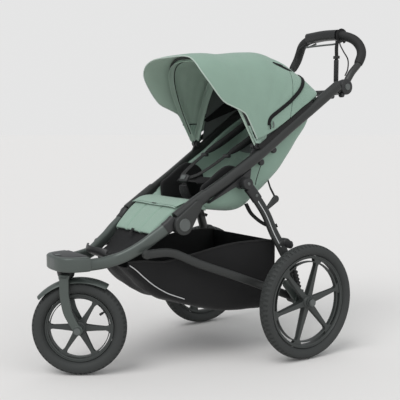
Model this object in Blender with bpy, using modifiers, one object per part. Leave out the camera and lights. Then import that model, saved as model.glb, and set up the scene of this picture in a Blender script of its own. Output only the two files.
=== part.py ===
"""A folding three-wheeled jogging stroller with a swivelling front wheel.

Places are measured from the point on the ground under the middle of the rear axle, in metres:
+X is the stroller's left, -Y its front and +Z up. The whole model then sits on one empty, which
moves it back by AXLE_BEHIND_ORIGIN so that the origin is the middle of its footprint.
"""
import math

import bmesh
import bpy
from mathutils import Matrix, Vector

# ---------------------------------------------------------------- driving dimensions
AXLE_BEHIND_ORIGIN = 0.2240
GAP = 0.0003                      # between pieces that touch
CLEAR = 0.0008                    # between pieces that turn past each other

TUBE_TALL, TUBE_WIDE = 0.038, 0.028
LEG_TALL, LEG_WIDE = 0.034, 0.022
STAY_TALL, STAY_WIDE = 0.028, 0.018
ROUND_TUBE = 0.011                # radius of the cross tubes
PIN = 0.005                       # radius of the pivot pins

REAR_RADIUS, REAR_WIDTH, REAR_RIM, REAR_TRACK = 0.200, 0.047, 0.160, 0.310
FRONT_RADIUS, FRONT_WIDTH, FRONT_RIM = 0.155, 0.050, 0.111
SPOKES = 6
REAR_FIRST_SPOKE, FRONT_FIRST_SPOKE = math.radians(12), math.radians(-2)
AXLE = 0.006                      # radius of the wheel axles
HUB_LENGTH = 0.050
STEM_PLACE = Vector((0, -0.752, 0))
TRAIL = 0.041
SWIVEL = math.radians(-34.8)      # the front wheel stands turned
MUDGUARD_GAP = 0.006

FOLD = Vector((0, -0.420, 0.482))         # fold hinge, under the main tube
FOLD_RADIUS = 0.034
FOLD_X = 0.157                            # middle of the knuckle
KNUCKLE_WIDTH = TUBE_WIDE + 0.003
CHEEK = 0.014
BADGE_RADIUS = 0.021

LEG_TOP = Vector((0, -0.180, 0.607))
LEG_FOOT = Vector((0, 0.0, 0.205))        # cross tube, where leg and stay meet
ARM_PIVOT = Vector((0, -0.060, 0.262))
LEG_TOP_X, LEG_FOOT_X = 0.203, 0.2590
STAY_FRONT = Vector((0.1645, -0.550, 0.395))

HANDLE_PIVOT = Vector((0, 0.292, 0.943))
HANDLE_X = 0.185
HANDLE_TUBE = 0.013
GRIP_THICK = 0.0035

CANOPY_PIVOT = Vector((0, -0.124, 0.7320))
CANOPY_HALF = 0.205
BOW = 0.0045
CLOTH = 0.003
SEAM = 0.003                      # between neighbouring cloth panels
SEAT_HALF = 0.164 - TUBE_WIDE / 2            # the seat fits between the main tubes
TRAY_HALF = 0.082 - TUBE_WIDE / 2            # and the foot tray between the lower ones
RECLINE = Vector((0, -0.105, 0.566))

SIDES = (("left", 1), ("right", -1))
COLOURS = {
    "sage fabric": ((0.262, 0.371, 0.305), 0.85, 0.0),
    "black fabric": ((0.012, 0.012, 0.013), 0.9, 0.0),
    "frame paint": ((0.045, 0.050, 0.048), 0.45, 0.6),
    "black plastic": ((0.014, 0.014, 0.015), 0.55, 0.0),
    "grey plastic": ((0.07, 0.074, 0.073), 0.5, 0.0),
    "rubber": ((0.030, 0.032, 0.031), 0.8, 0.0),
    "foam": ((0.012, 0.012, 0.012), 0.95, 0.0),
    "steel": ((0.45, 0.45, 0.46), 0.3, 1.0),
}


# ---------------------------------------------------------------- scene and materials
for old in list(bpy.data.objects):
    bpy.data.objects.remove(old)

PARTS = bpy.data.collections.new("baby_stroller")
CUTTERS = bpy.data.collections.new("cutters")
bpy.context.scene.collection.children.link(PARTS)
bpy.context.scene.collection.children.link(CUTTERS)


def material(name):
    colour, roughness, metallic = COLOURS[name]
    made = bpy.data.materials.get(name) or bpy.data.materials.new(name)
    made.use_nodes = True
    shader = made.node_tree.nodes["Principled BSDF"]
    shader.inputs["Base Color"].default_value = (*colour, 1)
    shader.inputs["Roughness"].default_value = roughness
    shader.inputs["Metallic"].default_value = metallic
    return made


def empty(name, place, parent=None, turn=0.0):
    made = bpy.data.objects.new(name, None)
    PARTS.objects.link(made)
    made.parent = parent
    made.matrix_world = Matrix.Translation(place) @ Matrix.Rotation(turn, 4, "Z")
    return made


# ---------------------------------------------------------------- shapes
def holder(name, bm):
    """A new object that holds the mesh, linked among the cutters until it is finished."""
    mesh = bpy.data.meshes.new(name)
    bmesh.ops.recalc_face_normals(bm, faces=bm.faces)
    bm.to_mesh(mesh)
    bm.free()
    made = bpy.data.objects.new(name, mesh)
    CUTTERS.objects.link(made)
    made.hide_render = True
    made.display_type = "WIRE"
    return made


def rod(start, end, radius, end_radius=None, sides=16):
    """A closed cylinder or cone between two points."""
    start, end = Vector(start), Vector(end)
    run = end - start
    bm = bmesh.new()
    bmesh.ops.create_cone(bm, cap_ends=True, segments=sides, radius1=radius,
                          radius2=radius if end_radius is None else end_radius, depth=run.length)
    turn = run.to_track_quat("Z", "Y").to_matrix().to_4x4()
    bmesh.ops.transform(bm, verts=bm.verts, matrix=Matrix.Translation((start + end) / 2) @ turn)
    return holder("rod", bm)


def block(low, high):
    """A box between two corners."""
    low, high = Vector(low), Vector(high)
    bm = bmesh.new()
    bmesh.ops.create_cube(bm, size=1)
    bmesh.ops.scale(bm, vec=high - low, verts=bm.verts)
    bmesh.ops.translate(bm, vec=(low + high) / 2, verts=bm.verts)
    return holder("block", bm)


def meshed(curve_object):
    """The curve object as a closed mesh with its caps welded."""
    bpy.context.view_layer.update()
    graph = bpy.context.evaluated_depsgraph_get()
    mesh = bpy.data.meshes.new_from_object(curve_object.evaluated_get(graph))
    bm = bmesh.new()
    bm.from_mesh(mesh)
    bmesh.ops.remove_doubles(bm, verts=bm.verts, dist=0.00001)
    made = holder(curve_object.name, bm)
    made.matrix_world = curve_object.matrix_world
    bpy.data.objects.remove(curve_object)
    return made


def oval(wide, tall, sides=12):
    """A flat ring for a tube's section: wide across, tall up."""
    curve = bpy.data.curves.new("oval_guide", "CURVE")
    curve.dimensions = "2D"
    ring = curve.splines.new("POLY")
    ring.points.add(sides - 1)
    ring.use_cyclic_u = True
    for index, point in enumerate(ring.points):
        angle = math.tau * (index + 0.5) / sides
        point.co = (wide / 2 * math.cos(angle), tall / 2 * math.sin(angle), 0, 1)
    guide = bpy.data.objects.new("oval_guide", curve)
    CUTTERS.objects.link(guide)
    guide.hide_render = True
    guide.display_type = "WIRE"
    return guide


def smooth_route(points, per_span):
    """Points along a Catmull-Rom curve through the given ones."""
    points = [Vector(p) for p in points]
    ends = [2 * points[0] - points[1]] + points + [2 * points[-1] - points[-2]]
    route = []
    for a, b, c, d in zip(ends, ends[1:], ends[2:], ends[3:]):
        for step in range(per_span):
            t = step / per_span
            route.append(0.5 * (2 * b + (c - a) * t + (2 * a - 5 * b + 4 * c - d) * t * t
                                + (3 * b - a - 3 * c + d) * t ** 3))
    route.append(points[-1])
    return route


def tube(points, wide, tall=None, per_span=1, sides=10):
    """A closed round or oval tube along a smooth route."""
    route = smooth_route(points, per_span)
    curve = bpy.data.curves.new("tube", "CURVE")
    curve.dimensions = "3D"
    curve.twist_mode = "MINIMUM" if tall is None else "Z_UP"
    curve.use_fill_caps = True
    curve.bevel_mode = "OBJECT"
    curve.bevel_object = oval(wide, tall or wide, sides)
    spline = curve.splines.new("POLY")
    spline.points.add(len(route) - 1)
    for point, place in zip(spline.points, route):
        point.co = (*place, 1)
    made = bpy.data.objects.new("tube", curve)
    CUTTERS.objects.link(made)
    return meshed(made)


def plate(outline, x_from, x_to):
    """A flat sheet: a closed (y, z) outline, made thick between two x places."""
    curve = bpy.data.curves.new("plate", "CURVE")
    curve.dimensions = "2D"
    curve.fill_mode = "BOTH"
    curve.extrude = abs(x_to - x_from) / 2
    ring = curve.splines.new("POLY")
    ring.points.add(len(outline) - 1)
    ring.use_cyclic_u = True
    for point, (y, z) in zip(ring.points, outline):
        point.co = (y, z, 0, 1)
    made = bpy.data.objects.new("plate", curve)
    CUTTERS.objects.link(made)
    across = Matrix(((0, 0, 1, 0), (1, 0, 0, 0), (0, 1, 0, 0), (0, 0, 0, 1)))
    made.matrix_world = Matrix.Translation(((x_from + x_to) / 2, 0, 0)) @ across
    return meshed(made)


def link_outline(start, end, start_radius, end_radius, sides=10):
    """The (y, z) outline of a bar with round ends, each (y, z) place with its own radius."""
    start, end = Vector(start), Vector(end)
    heading = math.atan2(*reversed(end - start))
    outline = []
    for centre, radius, first in ((start, start_radius, heading + math.pi / 2),
                                  (end, end_radius, heading - math.pi / 2)):
        for step in range(sides + 1):
            angle = first + math.pi * step / sides
            outline.append((centre.x + radius * math.cos(angle), centre.y + radius * math.sin(angle)))
    return outline


def ribbon(line, half_widths):
    """The (y, z) outline of a band that follows a line, with a half-width at each of its points."""
    line = [Vector(p) for p in line]
    one_side, other_side = [], []
    for index, (place, half) in enumerate(zip(line, half_widths)):
        run = line[min(index + 1, len(line) - 1)] - line[max(index - 1, 0)]
        across = Vector((-run.y, run.x)).normalized() * half
        one_side.append(tuple(place + across))
        other_side.append(tuple(place - across))
    return one_side + other_side[::-1]


def turned(profile, steps=32, closed=False):
    """A solid of revolution about X from (radius, x) points that run from +x to -x."""
    bm = bmesh.new()
    points = [bm.verts.new((radius, 0, x)) for radius, x in profile]
    for a, b in zip(points, points[1:]):
        bm.edges.new((a, b))
    if closed:
        bm.edges.new((points[-1], points[0]))
    mesh = bpy.data.meshes.new("turned")
    bm.to_mesh(mesh)
    bm.free()
    made = bpy.data.objects.new("turned", mesh)
    CUTTERS.objects.link(made)
    screw = made.modifiers.new("screw", "SCREW")
    screw.axis = "Z"
    screw.steps = screw.render_steps = steps
    screw.use_merge_vertices = True
    screw.merge_threshold = 0.00001
    made.matrix_world = Matrix.Rotation(math.pi / 2, 4, "Y")
    return meshed(made)


def arch(half, lower, crown, square=3.2, count=13):
    """Points over a rounded arch from +x to -x, between a (y, z) foot and a (y, z) crown."""
    lower, crown = Vector(lower), Vector(crown)
    points = []
    for step in range(count):
        angle = math.pi * step / (count - 1)
        across, up = math.cos(angle), math.sin(angle)
        x = half * math.copysign(abs(across) ** (2 / square), across)
        place = lower + (crown - lower) * abs(up) ** (2 / square)
        points.append(Vector((x, place.x, place.y)))
    return points


def skin(rows, thickness, offset=1.0):
    """A cloth shell over rows of points, closed by Solidify."""
    bm = bmesh.new()
    grid = [[bm.verts.new(point) for point in row] for row in rows]
    for row, following in zip(grid, grid[1:]):
        for a, b, c, d in zip(row, row[1:], following[1:], following):
            bm.faces.new((a, b, c, d))
    mesh = bpy.data.meshes.new("skin")
    bm.to_mesh(mesh)
    bm.free()
    made = bpy.data.objects.new("skin", mesh)
    CUTTERS.objects.link(made)
    thick = made.modifiers.new("thickness", "SOLIDIFY")
    thick.thickness = thickness
    thick.offset = offset
    return meshed(made)


def boolean(target, other, operation):
    other.hide_render = True
    other.display_type = "WIRE"
    step = target.modifiers.new(operation.lower(), "BOOLEAN")
    step.operation = operation
    step.solver = "EXACT"
    step.object = other
    return target


def join(target, *others):
    for other in others:
        boolean(target, other, "UNION")
    return target


def cut(target, *others):
    for other in others:
        boolean(target, other, "DIFFERENCE")
    return target


def finish(name, made, body, finish_name, bevel=0.0):
    """Names a piece, hangs it on its body's empty and gives it its material."""
    made.name = name
    made.data.name = name
    place = made.matrix_world.copy()
    CUTTERS.objects.unlink(made)
    PARTS.objects.link(made)
    made.hide_render = False
    made.display_type = "TEXTURED"
    made.data.materials.clear()
    made.data.materials.append(material(finish_name))
    if bevel:
        edge = made.modifiers.new("edges", "BEVEL")
        edge.width = bevel
        edge.segments = 2
        edge.limit_method = "ANGLE"
        edge.angle_limit = math.radians(50)
    made.data.shade_smooth()
    made.data.set_sharp_from_angle(angle=math.radians(40))
    made.parent = body
    made.matrix_parent_inverse = body.matrix_world.inverted()
    made.matrix_world = place
    return made


def mirrored(points, side):
    return [Vector((p[0] * side, p[1], p[2])) for p in points]


def at(x, place):
    """A place on an axis that runs across, at x."""
    return Vector((x, place.y, place.z))


# ---------------------------------------------------------------- bodies, each on its joint
origin = empty("upper_frame", (0, 0, 0))
seat_back_body = empty("seat_back_hinge", RECLINE, origin)
front_body = empty("fold_hinge", FOLD, origin)
stem_body = empty("swivel", STEM_PLACE, front_body, SWIVEL)
front_hub = stem_body.matrix_world @ Vector((0, TRAIL, FRONT_RADIUS))
front_wheel_body = empty("front_wheel_axle", front_hub, stem_body, SWIVEL)
lock_body = empty("swivel_lock_slide", STEM_PLACE + Vector((0, 0, 0.41)), front_body)
leg_body = empty("leg_hinge", LEG_TOP, origin)
stay_body = empty("stay_hinge", LEG_FOOT, leg_body)
handle_body = empty("handle_hinge", HANDLE_PIVOT, origin)
canopy_body = empty("canopy_hinge", CANOPY_PIVOT, origin)
bow_body = empty("canopy_middle_hinge", CANOPY_PIVOT, origin)


# ---------------------------------------------------------------- main tubes and the fold hinge
UPPER_ROUTE = [(0.1615, -0.352, 0.5535), (0.172, -0.253, 0.612), (0.183, -0.145, 0.681),
               (0.187, -0.065, 0.735), (0.190, 0.020, 0.795), (0.190, 0.107, 0.851),
               (0.190, 0.201, 0.913), (0.190, 0.252, 0.9465)]
LOWER_ROUTE = [(0.1465, -0.4705, 0.468), (0.137, -0.509, 0.441), (0.127, -0.537, 0.420),
               (0.116, -0.568, 0.401), (0.102, -0.597, 0.385), (0.089, -0.623, 0.375),
               (0.082, -0.660, 0.368), (0.0775, -0.688, 0.3655), (0.077, -0.7075, 0.365)]
SPLIT = Vector((FOLD_X, -0.4345, 0.5010))         # where the tube line is parted, above the pivot


def upper_tube(name, side):
    finish(f"upper_tube_{name}", tube(mirrored(UPPER_ROUTE, side), TUBE_WIDE, TUBE_TALL), origin,
           "frame paint")


def lower_tube(name, side):
    finish(f"lower_tube_{name}", tube(mirrored(LOWER_ROUTE, side), TUBE_WIDE, TUBE_TALL), front_body,
           "frame paint")


def fold_housing(name, side):
    """The upper half of the hinge: a sleeve on the tube and an outer cheek over the knuckle."""
    inner = FOLD_X + KNUCKLE_WIDTH / 2
    start = Vector(UPPER_ROUTE[0])
    along = (start - SPLIT).normalized()
    sleeve = tube(mirrored([SPLIT + along * 0.0008, start - along * GAP], side),
                  TUBE_WIDE + 0.004, TUBE_TALL + 0.004, per_span=1)
    cut(sleeve, rod(at(side * (FOLD_X - 0.04), FOLD), at(side * (inner + GAP), FOLD),
                    FOLD_RADIUS - 0.004 + CLEAR, sides=32))
    outer = (inner + CLEAR, inner + CLEAR + CHEEK)
    cheek = plate(link_outline(FOLD.yz, (start.y - 0.012, start.z - 0.010), FOLD_RADIUS, 0.016),
                  side * outer[0], side * outer[1])
    neck = tube(mirrored([start - along * 0.030 + Vector((0.004, 0, 0)),
                          start - along * 0.001 + Vector((0.004, 0, 0))], side),
                TUBE_WIDE + 0.012, TUBE_TALL + 0.004, per_span=1)
    pin = rod(at(side * (FOLD_X - 0.0145), FOLD), at(side * (outer[0] + 0.004), FOLD), PIN)
    housing = join(sleeve, neck, cheek)
    cut(housing, tube(mirrored(UPPER_ROUTE, side), TUBE_WIDE + 2 * GAP, TUBE_TALL + 2 * GAP))
    finish(f"fold_housing_{name}", join(housing, pin), origin, "black plastic")


def fold_knuckle(name, side):
    """The lower half of the hinge: a thick disc on the pin and a sleeve that meets the lower tube."""
    start = Vector(LOWER_ROUTE[0])
    along = (SPLIT - start).normalized()
    square_end = SPLIT - (Vector(UPPER_ROUTE[0]) - SPLIT).normalized() * 0.010
    sleeve = tube(mirrored([start + along * GAP, square_end, SPLIT], side), TUBE_WIDE + 0.003,
                  TUBE_TALL + 0.004, per_span=1)
    cut(sleeve, tube(mirrored(LOWER_ROUTE, side), TUBE_WIDE + 2 * GAP, TUBE_TALL + 2 * GAP))
    disc = rod(at(side * (FOLD_X - KNUCKLE_WIDTH / 2), FOLD), at(side * (FOLD_X + KNUCKLE_WIDTH / 2), FOLD),
               FOLD_RADIUS - 0.004, sides=32)
    bore = rod(at(side * (FOLD_X - 0.03), FOLD), at(side * (FOLD_X + 0.03), FOLD), PIN + GAP)
    finish(f"fold_knuckle_{name}", cut(join(sleeve, disc), bore), front_body, "black plastic")


def hinge_disc(name, side):
    face = FOLD_X + KNUCKLE_WIDTH / 2 + CLEAR + CHEEK + GAP
    disc = rod(at(side * face, FOLD), at(side * (face + 0.004), FOLD), BADGE_RADIUS,
               BADGE_RADIUS - 0.0015, sides=32)
    finish(f"hinge_disc_{name}", disc, origin, "grey plastic")


# ---------------------------------------------------------------- nose, fork and front wheel
NOSE_LOW, NOSE_HIGH, NOSE_REAR = 0.3485, 0.392, -0.7090
STEM = 0.012


def nose_block():
    """The casting that both lower tubes run into and that the fork turns in."""
    y = STEM_PLACE.y
    outline = [(-0.800, NOSE_LOW + 0.016), (-0.786, NOSE_LOW), (NOSE_REAR, NOSE_LOW - 0.003),
               (NOSE_REAR, NOSE_HIGH), (y, NOSE_HIGH), (-0.785, NOSE_HIGH - 0.003), (-0.800,
                                                                                     NOSE_HIGH - 0.013)]
    body = plate(outline, -0.093, 0.093)
    sides = [rod((side * 0.135, -0.790, 0.30), (side * 0.135, -0.790, 0.44), 0.066,
                 sides=40) for side in (1, -1)]
    bore = rod((0, y, 0.30), (0, y, NOSE_HIGH - 0.010), STEM + GAP, sides=24)
    slot = block((-0.009 - CLEAR, y - 0.036 - CLEAR, NOSE_HIGH - 0.012),
                 (0.009 + CLEAR, y - 0.014, NOSE_HIGH + 0.02))
    finish("nose_block", cut(body, *sides, bore, slot), front_body, "black plastic")


def swivel_lock():
    """A sliding catch on the nose that locks the fork straight ahead."""
    y = STEM_PLACE.y
    catch = block((-0.009, y - 0.036, NOSE_HIGH - 0.011), (0.009, y - 0.018, NOSE_HIGH + 0.003))
    finish("swivel_lock_catch", catch, lock_body, "grey plastic")


def fork():
    """A steerer, a crown over the tyre and two blades that sweep back to the axle."""
    hub = Vector((0, TRAIL, FRONT_RADIUS))
    top = NOSE_LOW - CLEAR - 0.002
    crown_low = 2 * FRONT_RADIUS + 0.0085
    blade_x = FRONT_WIDTH / 2 + 0.0155
    crown = block((-blade_x - 0.005, -0.017, crown_low), (blade_x + 0.005, 0.017, top - 0.012))
    collar = rod((0, 0, crown_low + 0.002), (0, 0, top - 0.003), 0.026, 0.030, sides=28)
    steerer = rod((0, 0, crown_low + 0.005), (0, 0, NOSE_HIGH - 0.0115), STEM, sides=24)
    solid = join(crown, collar, steerer)
    for side in (1, -1):
        blade = ribbon([(0, top - 0.013), (0, 0.265), (0.010, 0.210), (hub.y, hub.z)],
                       (0.015, 0.015, 0.014, 0.012))
        join(solid, plate(blade, side * (blade_x - 0.005), side * (blade_x + 0.005)))
        join(solid, rod((side * (blade_x - 0.005), hub.y, hub.z), (side * (blade_x + 0.005), hub.y, hub.z),
                        0.016))
    cut(solid, rod((-0.08, hub.y, hub.z), (0.08, hub.y, hub.z), AXLE + GAP))
    solid.matrix_world = stem_body.matrix_world @ solid.matrix_world
    for step in solid.modifiers:
        step.object.matrix_world = stem_body.matrix_world @ step.object.matrix_world
    return finish("fork", solid, stem_body, "frame paint")


def front_mudguard():
    """A curved guard over the tyre, held between the fork's blades."""
    hub = Vector((0, TRAIL, FRONT_RADIUS))
    rear_end, front_end = math.radians(55), math.radians(143)
    steps = 9
    rows = []
    for step in range(steps + 1):
        share = step / steps
        angle = rear_end + (front_end - rear_end) * share
        flare = 0.006 * (2 * share - 1) ** 2
        row = []
        for across in (-1, -0.8, -0.4, 0, 0.4, 0.8, 1):
            radius = FRONT_RADIUS + MUDGUARD_GAP + flare - 0.0012 - 0.010 * abs(across) ** 4
            row.append((across * (FRONT_WIDTH / 2 + 0.007), hub.y + radius * math.cos(angle),
                        hub.z + radius * math.sin(angle)))
        rows.append(row)
    guard = skin(rows, 0.0018, 0.0)
    guard.matrix_world = stem_body.matrix_world @ guard.matrix_world
    finish("front_mudguard", guard, stem_body, "black plastic")


def tyre(name, radius, width, rim, centre, turn, body):
    seat = rim + GAP
    middle, half_tall = (radius + seat) / 2, (radius - seat) / 2
    profile = []
    for step in range(10):
        angle = -math.tau * step / 10
        profile.append((middle + half_tall * math.cos(angle), width / 2 * math.sin(angle)))
    solid = turned(profile, steps=32, closed=True)
    solid.matrix_world = Matrix.Translation(centre) @ Matrix.Rotation(turn, 4, "Z") @ solid.matrix_world
    finish(name, solid, body, "rubber")


def rim(name, radius, centre, turn, first_spoke, body):
    """A moulded wheel: outer rim, thin inner ring, six spokes and a bored hub."""
    half = 0.0125
    hub_half = HUB_LENGTH / 2
    ring = turned([(radius, half), (radius, -half), (radius - 0.008, -half), (radius - 0.010, 0),
                   (radius - 0.008, half)], steps=32, closed=True)
    inner = turned([(radius * 0.885, 0.008), (radius * 0.885, -0.008), (radius * 0.858, -0.008),
                    (radius * 0.858, 0.008)], steps=32, closed=True)
    hub = turned([(AXLE + GAP, hub_half), (0.017, hub_half), (0.022, 0.010), (0.022, -hub_half + 0.006),
                  (AXLE + GAP, -hub_half + 0.006)], steps=20, closed=True)
    solid = join(ring, inner, hub)
    for spoke in range(SPOKES):
        angle = first_spoke + math.tau * spoke / SPOKES
        away = Vector((0, math.cos(angle), math.sin(angle)))
        bar = tube([away * 0.016, away * (radius - 0.005)], 0.011, 0.019, sides=8)
        join(solid, bar)
    place = Matrix.Translation(centre) @ Matrix.Rotation(turn, 4, "Z")
    solid.matrix_world = place @ solid.matrix_world
    for step in solid.modifiers:
        step.object.matrix_world = place @ step.object.matrix_world
    finish(name, solid, body, "frame paint")


def front_axle():
    reach = FRONT_WIDTH / 2 + 0.0245
    across = stem_body.matrix_world.to_3x3() @ Vector((1, 0, 0))
    shaft = rod(front_hub - across * reach, front_hub + across * reach, AXLE)
    for side in (1, -1):
        nut = rod(front_hub + side * across * (reach - 0.004), front_hub + side * across * (reach + 0.006),
                  0.0105,
                  sides=18)
        join(shaft, nut)
    finish("front_axle", shaft, stem_body, "grey plastic")


# ---------------------------------------------------------------- rear legs, arms and rear wheels
LEG_ROUTE = [(LEG_TOP_X, -0.167, 0.590), (0.2035, -0.132, 0.548), (0.207, -0.097, 0.497),
             (0.2165, -0.070, 0.433), (0.2290, -0.048, 0.385), (0.2480, -0.019, 0.310),
             (LEG_FOOT_X - 0.002, 0.000, 0.222)]
ARM_INNER = LEG_FOOT_X + LEG_WIDE / 2 + 0.0008
ARM_THICK = 0.010
SHELF_THICK, SHELF_TOP, SHELF_CLEAR = 0.012, REAR_RADIUS + 0.040, 0.0052


def leg_bracket(name, side):
    """A wedge under the main tube with the pin that the leg turns on."""
    inner = LEG_TOP_X - LEG_WIDE / 2 - CLEAR
    outline = [(-0.325, 0.5465), (-0.150, 0.6560), (-0.158, 0.598), (-0.170, 0.588),
               (-0.190, 0.588), (-0.212, 0.598)]
    wedge = plate(outline, side * (inner - 0.018), side * inner)
    cut(wedge, tube(mirrored(UPPER_ROUTE, side), TUBE_WIDE + 2 * GAP, TUBE_TALL + 2 * GAP))
    pin = rod(at(side * (inner - 0.006), LEG_TOP), at(side * (LEG_TOP_X + LEG_WIDE / 2 + 0.002), LEG_TOP),
              PIN)
    finish(f"leg_bracket_{name}", join(wedge, pin), origin, "black plastic")


def rear_leg(name, side):
    leg = tube(mirrored(LEG_ROUTE, side), LEG_WIDE, LEG_TALL)
    head = rod(at(side * (LEG_TOP_X - LEG_WIDE / 2), LEG_TOP),
               at(side * (LEG_TOP_X + LEG_WIDE / 2), LEG_TOP), 0.0175,
               sides=24)
    strap = tube(mirrored([at(LEG_TOP_X, LEG_TOP), LEG_ROUTE[1]], side), LEG_WIDE - 0.002, 0.026,
                 per_span=1)
    foot = rod(at(side * (LEG_FOOT_X - LEG_WIDE / 2), LEG_FOOT),
               at(side * (LEG_FOOT_X + LEG_WIDE / 2), LEG_FOOT), 0.023,
               sides=24)
    boss = plate(link_outline((-0.046, 0.392), (-0.010, 0.392), 0.017, 0.010), side * 0.216, side * 0.240)
    lug = rod(at(side * (LEG_FOOT_X - 0.008), ARM_PIVOT), at(side * (LEG_FOOT_X + LEG_WIDE / 2), ARM_PIVOT),
              0.016)
    brace = plate(link_outline(ARM_PIVOT.yz, (-0.004, 0.243), 0.014, 0.014),
                  side * (LEG_FOOT_X - 0.008), side * (LEG_FOOT_X + LEG_WIDE / 2))
    perch = rod((side * (LEG_FOOT_X - 0.004), -0.040, 0.318), (side * (LEG_FOOT_X + 0.034), -0.040, 0.318),
                0.009)
    tie = plate(link_outline((-0.040, 0.318), (-0.018, 0.306), 0.0088, 0.010), side * (LEG_FOOT_X - 0.006),
                side * (LEG_FOOT_X + 0.009))
    join(leg, strap, head, foot, boss, lug, brace, tie, perch)
    top_bore = rod(at(side * (LEG_TOP_X - 0.03), LEG_TOP), at(side * (LEG_TOP_X + 0.03), LEG_TOP),
                   PIN + GAP)
    tube_bore = rod(at(side * (LEG_FOOT_X - 0.03), LEG_FOOT), at(side * (LEG_FOOT_X - 0.002), LEG_FOOT),
                    ROUND_TUBE + GAP)
    arm_bore = rod(at(side * (LEG_FOOT_X - 0.002), ARM_PIVOT), at(side * (LEG_FOOT_X + 0.03), ARM_PIVOT),
                   0.0055 + GAP)
    finish(f"rear_leg_{name}", cut(leg, top_bore, tube_bore, arm_bore), leg_body, "frame paint")


def rear_cross_tube():
    reach = LEG_FOOT_X - 0.002 - GAP
    finish("rear_cross_tube", rod(at(-reach, LEG_FOOT), at(reach, LEG_FOOT), ROUND_TUBE, sides=24),
           leg_body,
           "frame paint")


def rear_arm(name, side):
    """The sprung arm: a plate with its pivot stub, the brake drum's backing and the wheel's axle."""
    hub = Vector((0, 0, REAR_RADIUS))
    body = empty(f"rear_arm_hinge_{name}", at(side * ARM_INNER, ARM_PIVOT), leg_body)
    outline = link_outline(ARM_PIVOT.yz, hub.yz, 0.014, 0.020)
    arm = plate(outline, side * ARM_INNER, side * (ARM_INNER + ARM_THICK))
    stub = rod(at(side * LEG_FOOT_X, ARM_PIVOT), at(side * (ARM_INNER + 0.004), ARM_PIVOT), 0.0055)
    drum = rod(at(side * (ARM_INNER + 0.002), hub), at(side * (REAR_TRACK - HUB_LENGTH / 2 + 0.004), hub),
               0.030,
               sides=28)
    shelf = block((side * (ARM_INNER + 0.020) - 0.009, -0.024, SHELF_TOP - SHELF_THICK),
                  (side * (ARM_INNER + 0.020) + 0.009, -0.004, SHELF_TOP))
    tie_low, tie_high = REAR_RADIUS + 0.005, SHELF_TOP - 0.004
    shelf_tie = plate([(-0.020, tie_low), (0.002, tie_low), (-0.006, tie_high), (-0.022, tie_high)],
                      side * (ARM_INNER + 0.002), side * (ARM_INNER + 0.018))
    axle = rod(at(side * (ARM_INNER + 0.004), hub), at(side * (REAR_TRACK + HUB_LENGTH / 2 - 0.002), hub),
               AXLE)
    join(arm, stub, drum, shelf_tie, shelf, axle)
    finish(f"rear_arm_{name}", arm, body, "black plastic")
    return body


def elastomer(name, side):
    """A ribbed rubber spring between the leg's perch and the arm's shelf."""
    reach = side * (ARM_INNER + 0.018)
    top, low = Vector((reach, -0.0365, 0.3085)), Vector((reach, -0.0165, SHELF_TOP + SHELF_CLEAR))
    run = low - top
    solid = rod(top, low, 0.0065, sides=12)
    for rib in range(5):
        middle = top + run * (0.14 + 0.18 * rib)
        half = run.normalized() * 0.0032
        join(solid, rod(middle - half, middle + half, 0.0098, sides=12))
    finish(f"elastomer_{name}", solid, leg_body, "rubber")


def wheel_release(name, side, wheel):
    """The push button in the hub's outer end."""
    hub = Vector((0, 0, REAR_RADIUS))
    start = REAR_TRACK + HUB_LENGTH / 2 + 0.0035
    body = empty(f"wheel_release_slide_{name}", at(side * start, hub), wheel)
    button = rod(at(side * start, hub), at(side * (start + 0.0065), hub), 0.0125, 0.011, sides=24)
    finish(f"wheel_release_{name}", button, body, "grey plastic")


# ---------------------------------------------------------------- stays and basket
STAY_ROUTE = [STAY_FRONT, (0.170, -0.459, 0.392), (0.186, -0.369, 0.352), (0.206, -0.246, 0.304),
              (0.226, -0.120, 0.253), (0.2345, -0.020, 0.212)]


def stay(name, side):
    bar = tube(mirrored(STAY_ROUTE, side), STAY_WIDE, STAY_TALL, sides=10)
    inner, outer = 0.2255, LEG_FOOT_X - LEG_WIDE / 2 - 0.0045
    ring = rod(at(side * inner, LEG_FOOT), at(side * outer, LEG_FOOT), 0.021, sides=24)
    eye = rod((side * (STAY_FRONT.x - 0.009), STAY_FRONT.y, STAY_FRONT.z),
              (side * (STAY_FRONT.x + 0.009), STAY_FRONT.y, STAY_FRONT.z), 0.0145, sides=24)
    bore = rod(at(side * (inner - 0.01), LEG_FOOT), at(side * (outer + 0.01), LEG_FOOT), ROUND_TUBE + CLEAR,
               sides=24)
    finish(f"stay_{name}", cut(join(bar, ring, eye), bore), stay_body, "frame paint")


BASKET = (      # (y, rim z, floor z, half-width) from front to back
    (-0.585, 0.366, 0.345, 0.105), (-0.530, 0.366, 0.285, 0.125), (-0.470, 0.360, 0.238, 0.140),
    (-0.390, 0.372, 0.205, 0.150), (-0.230, 0.400, 0.160, 0.168), (-0.100, 0.404, 0.152, 0.180),
    (-0.036, 0.400, 0.150, 0.184))


BASKET_LAP = 1.006               # the back panel reaches this much wider, into the sling's cloth


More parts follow.
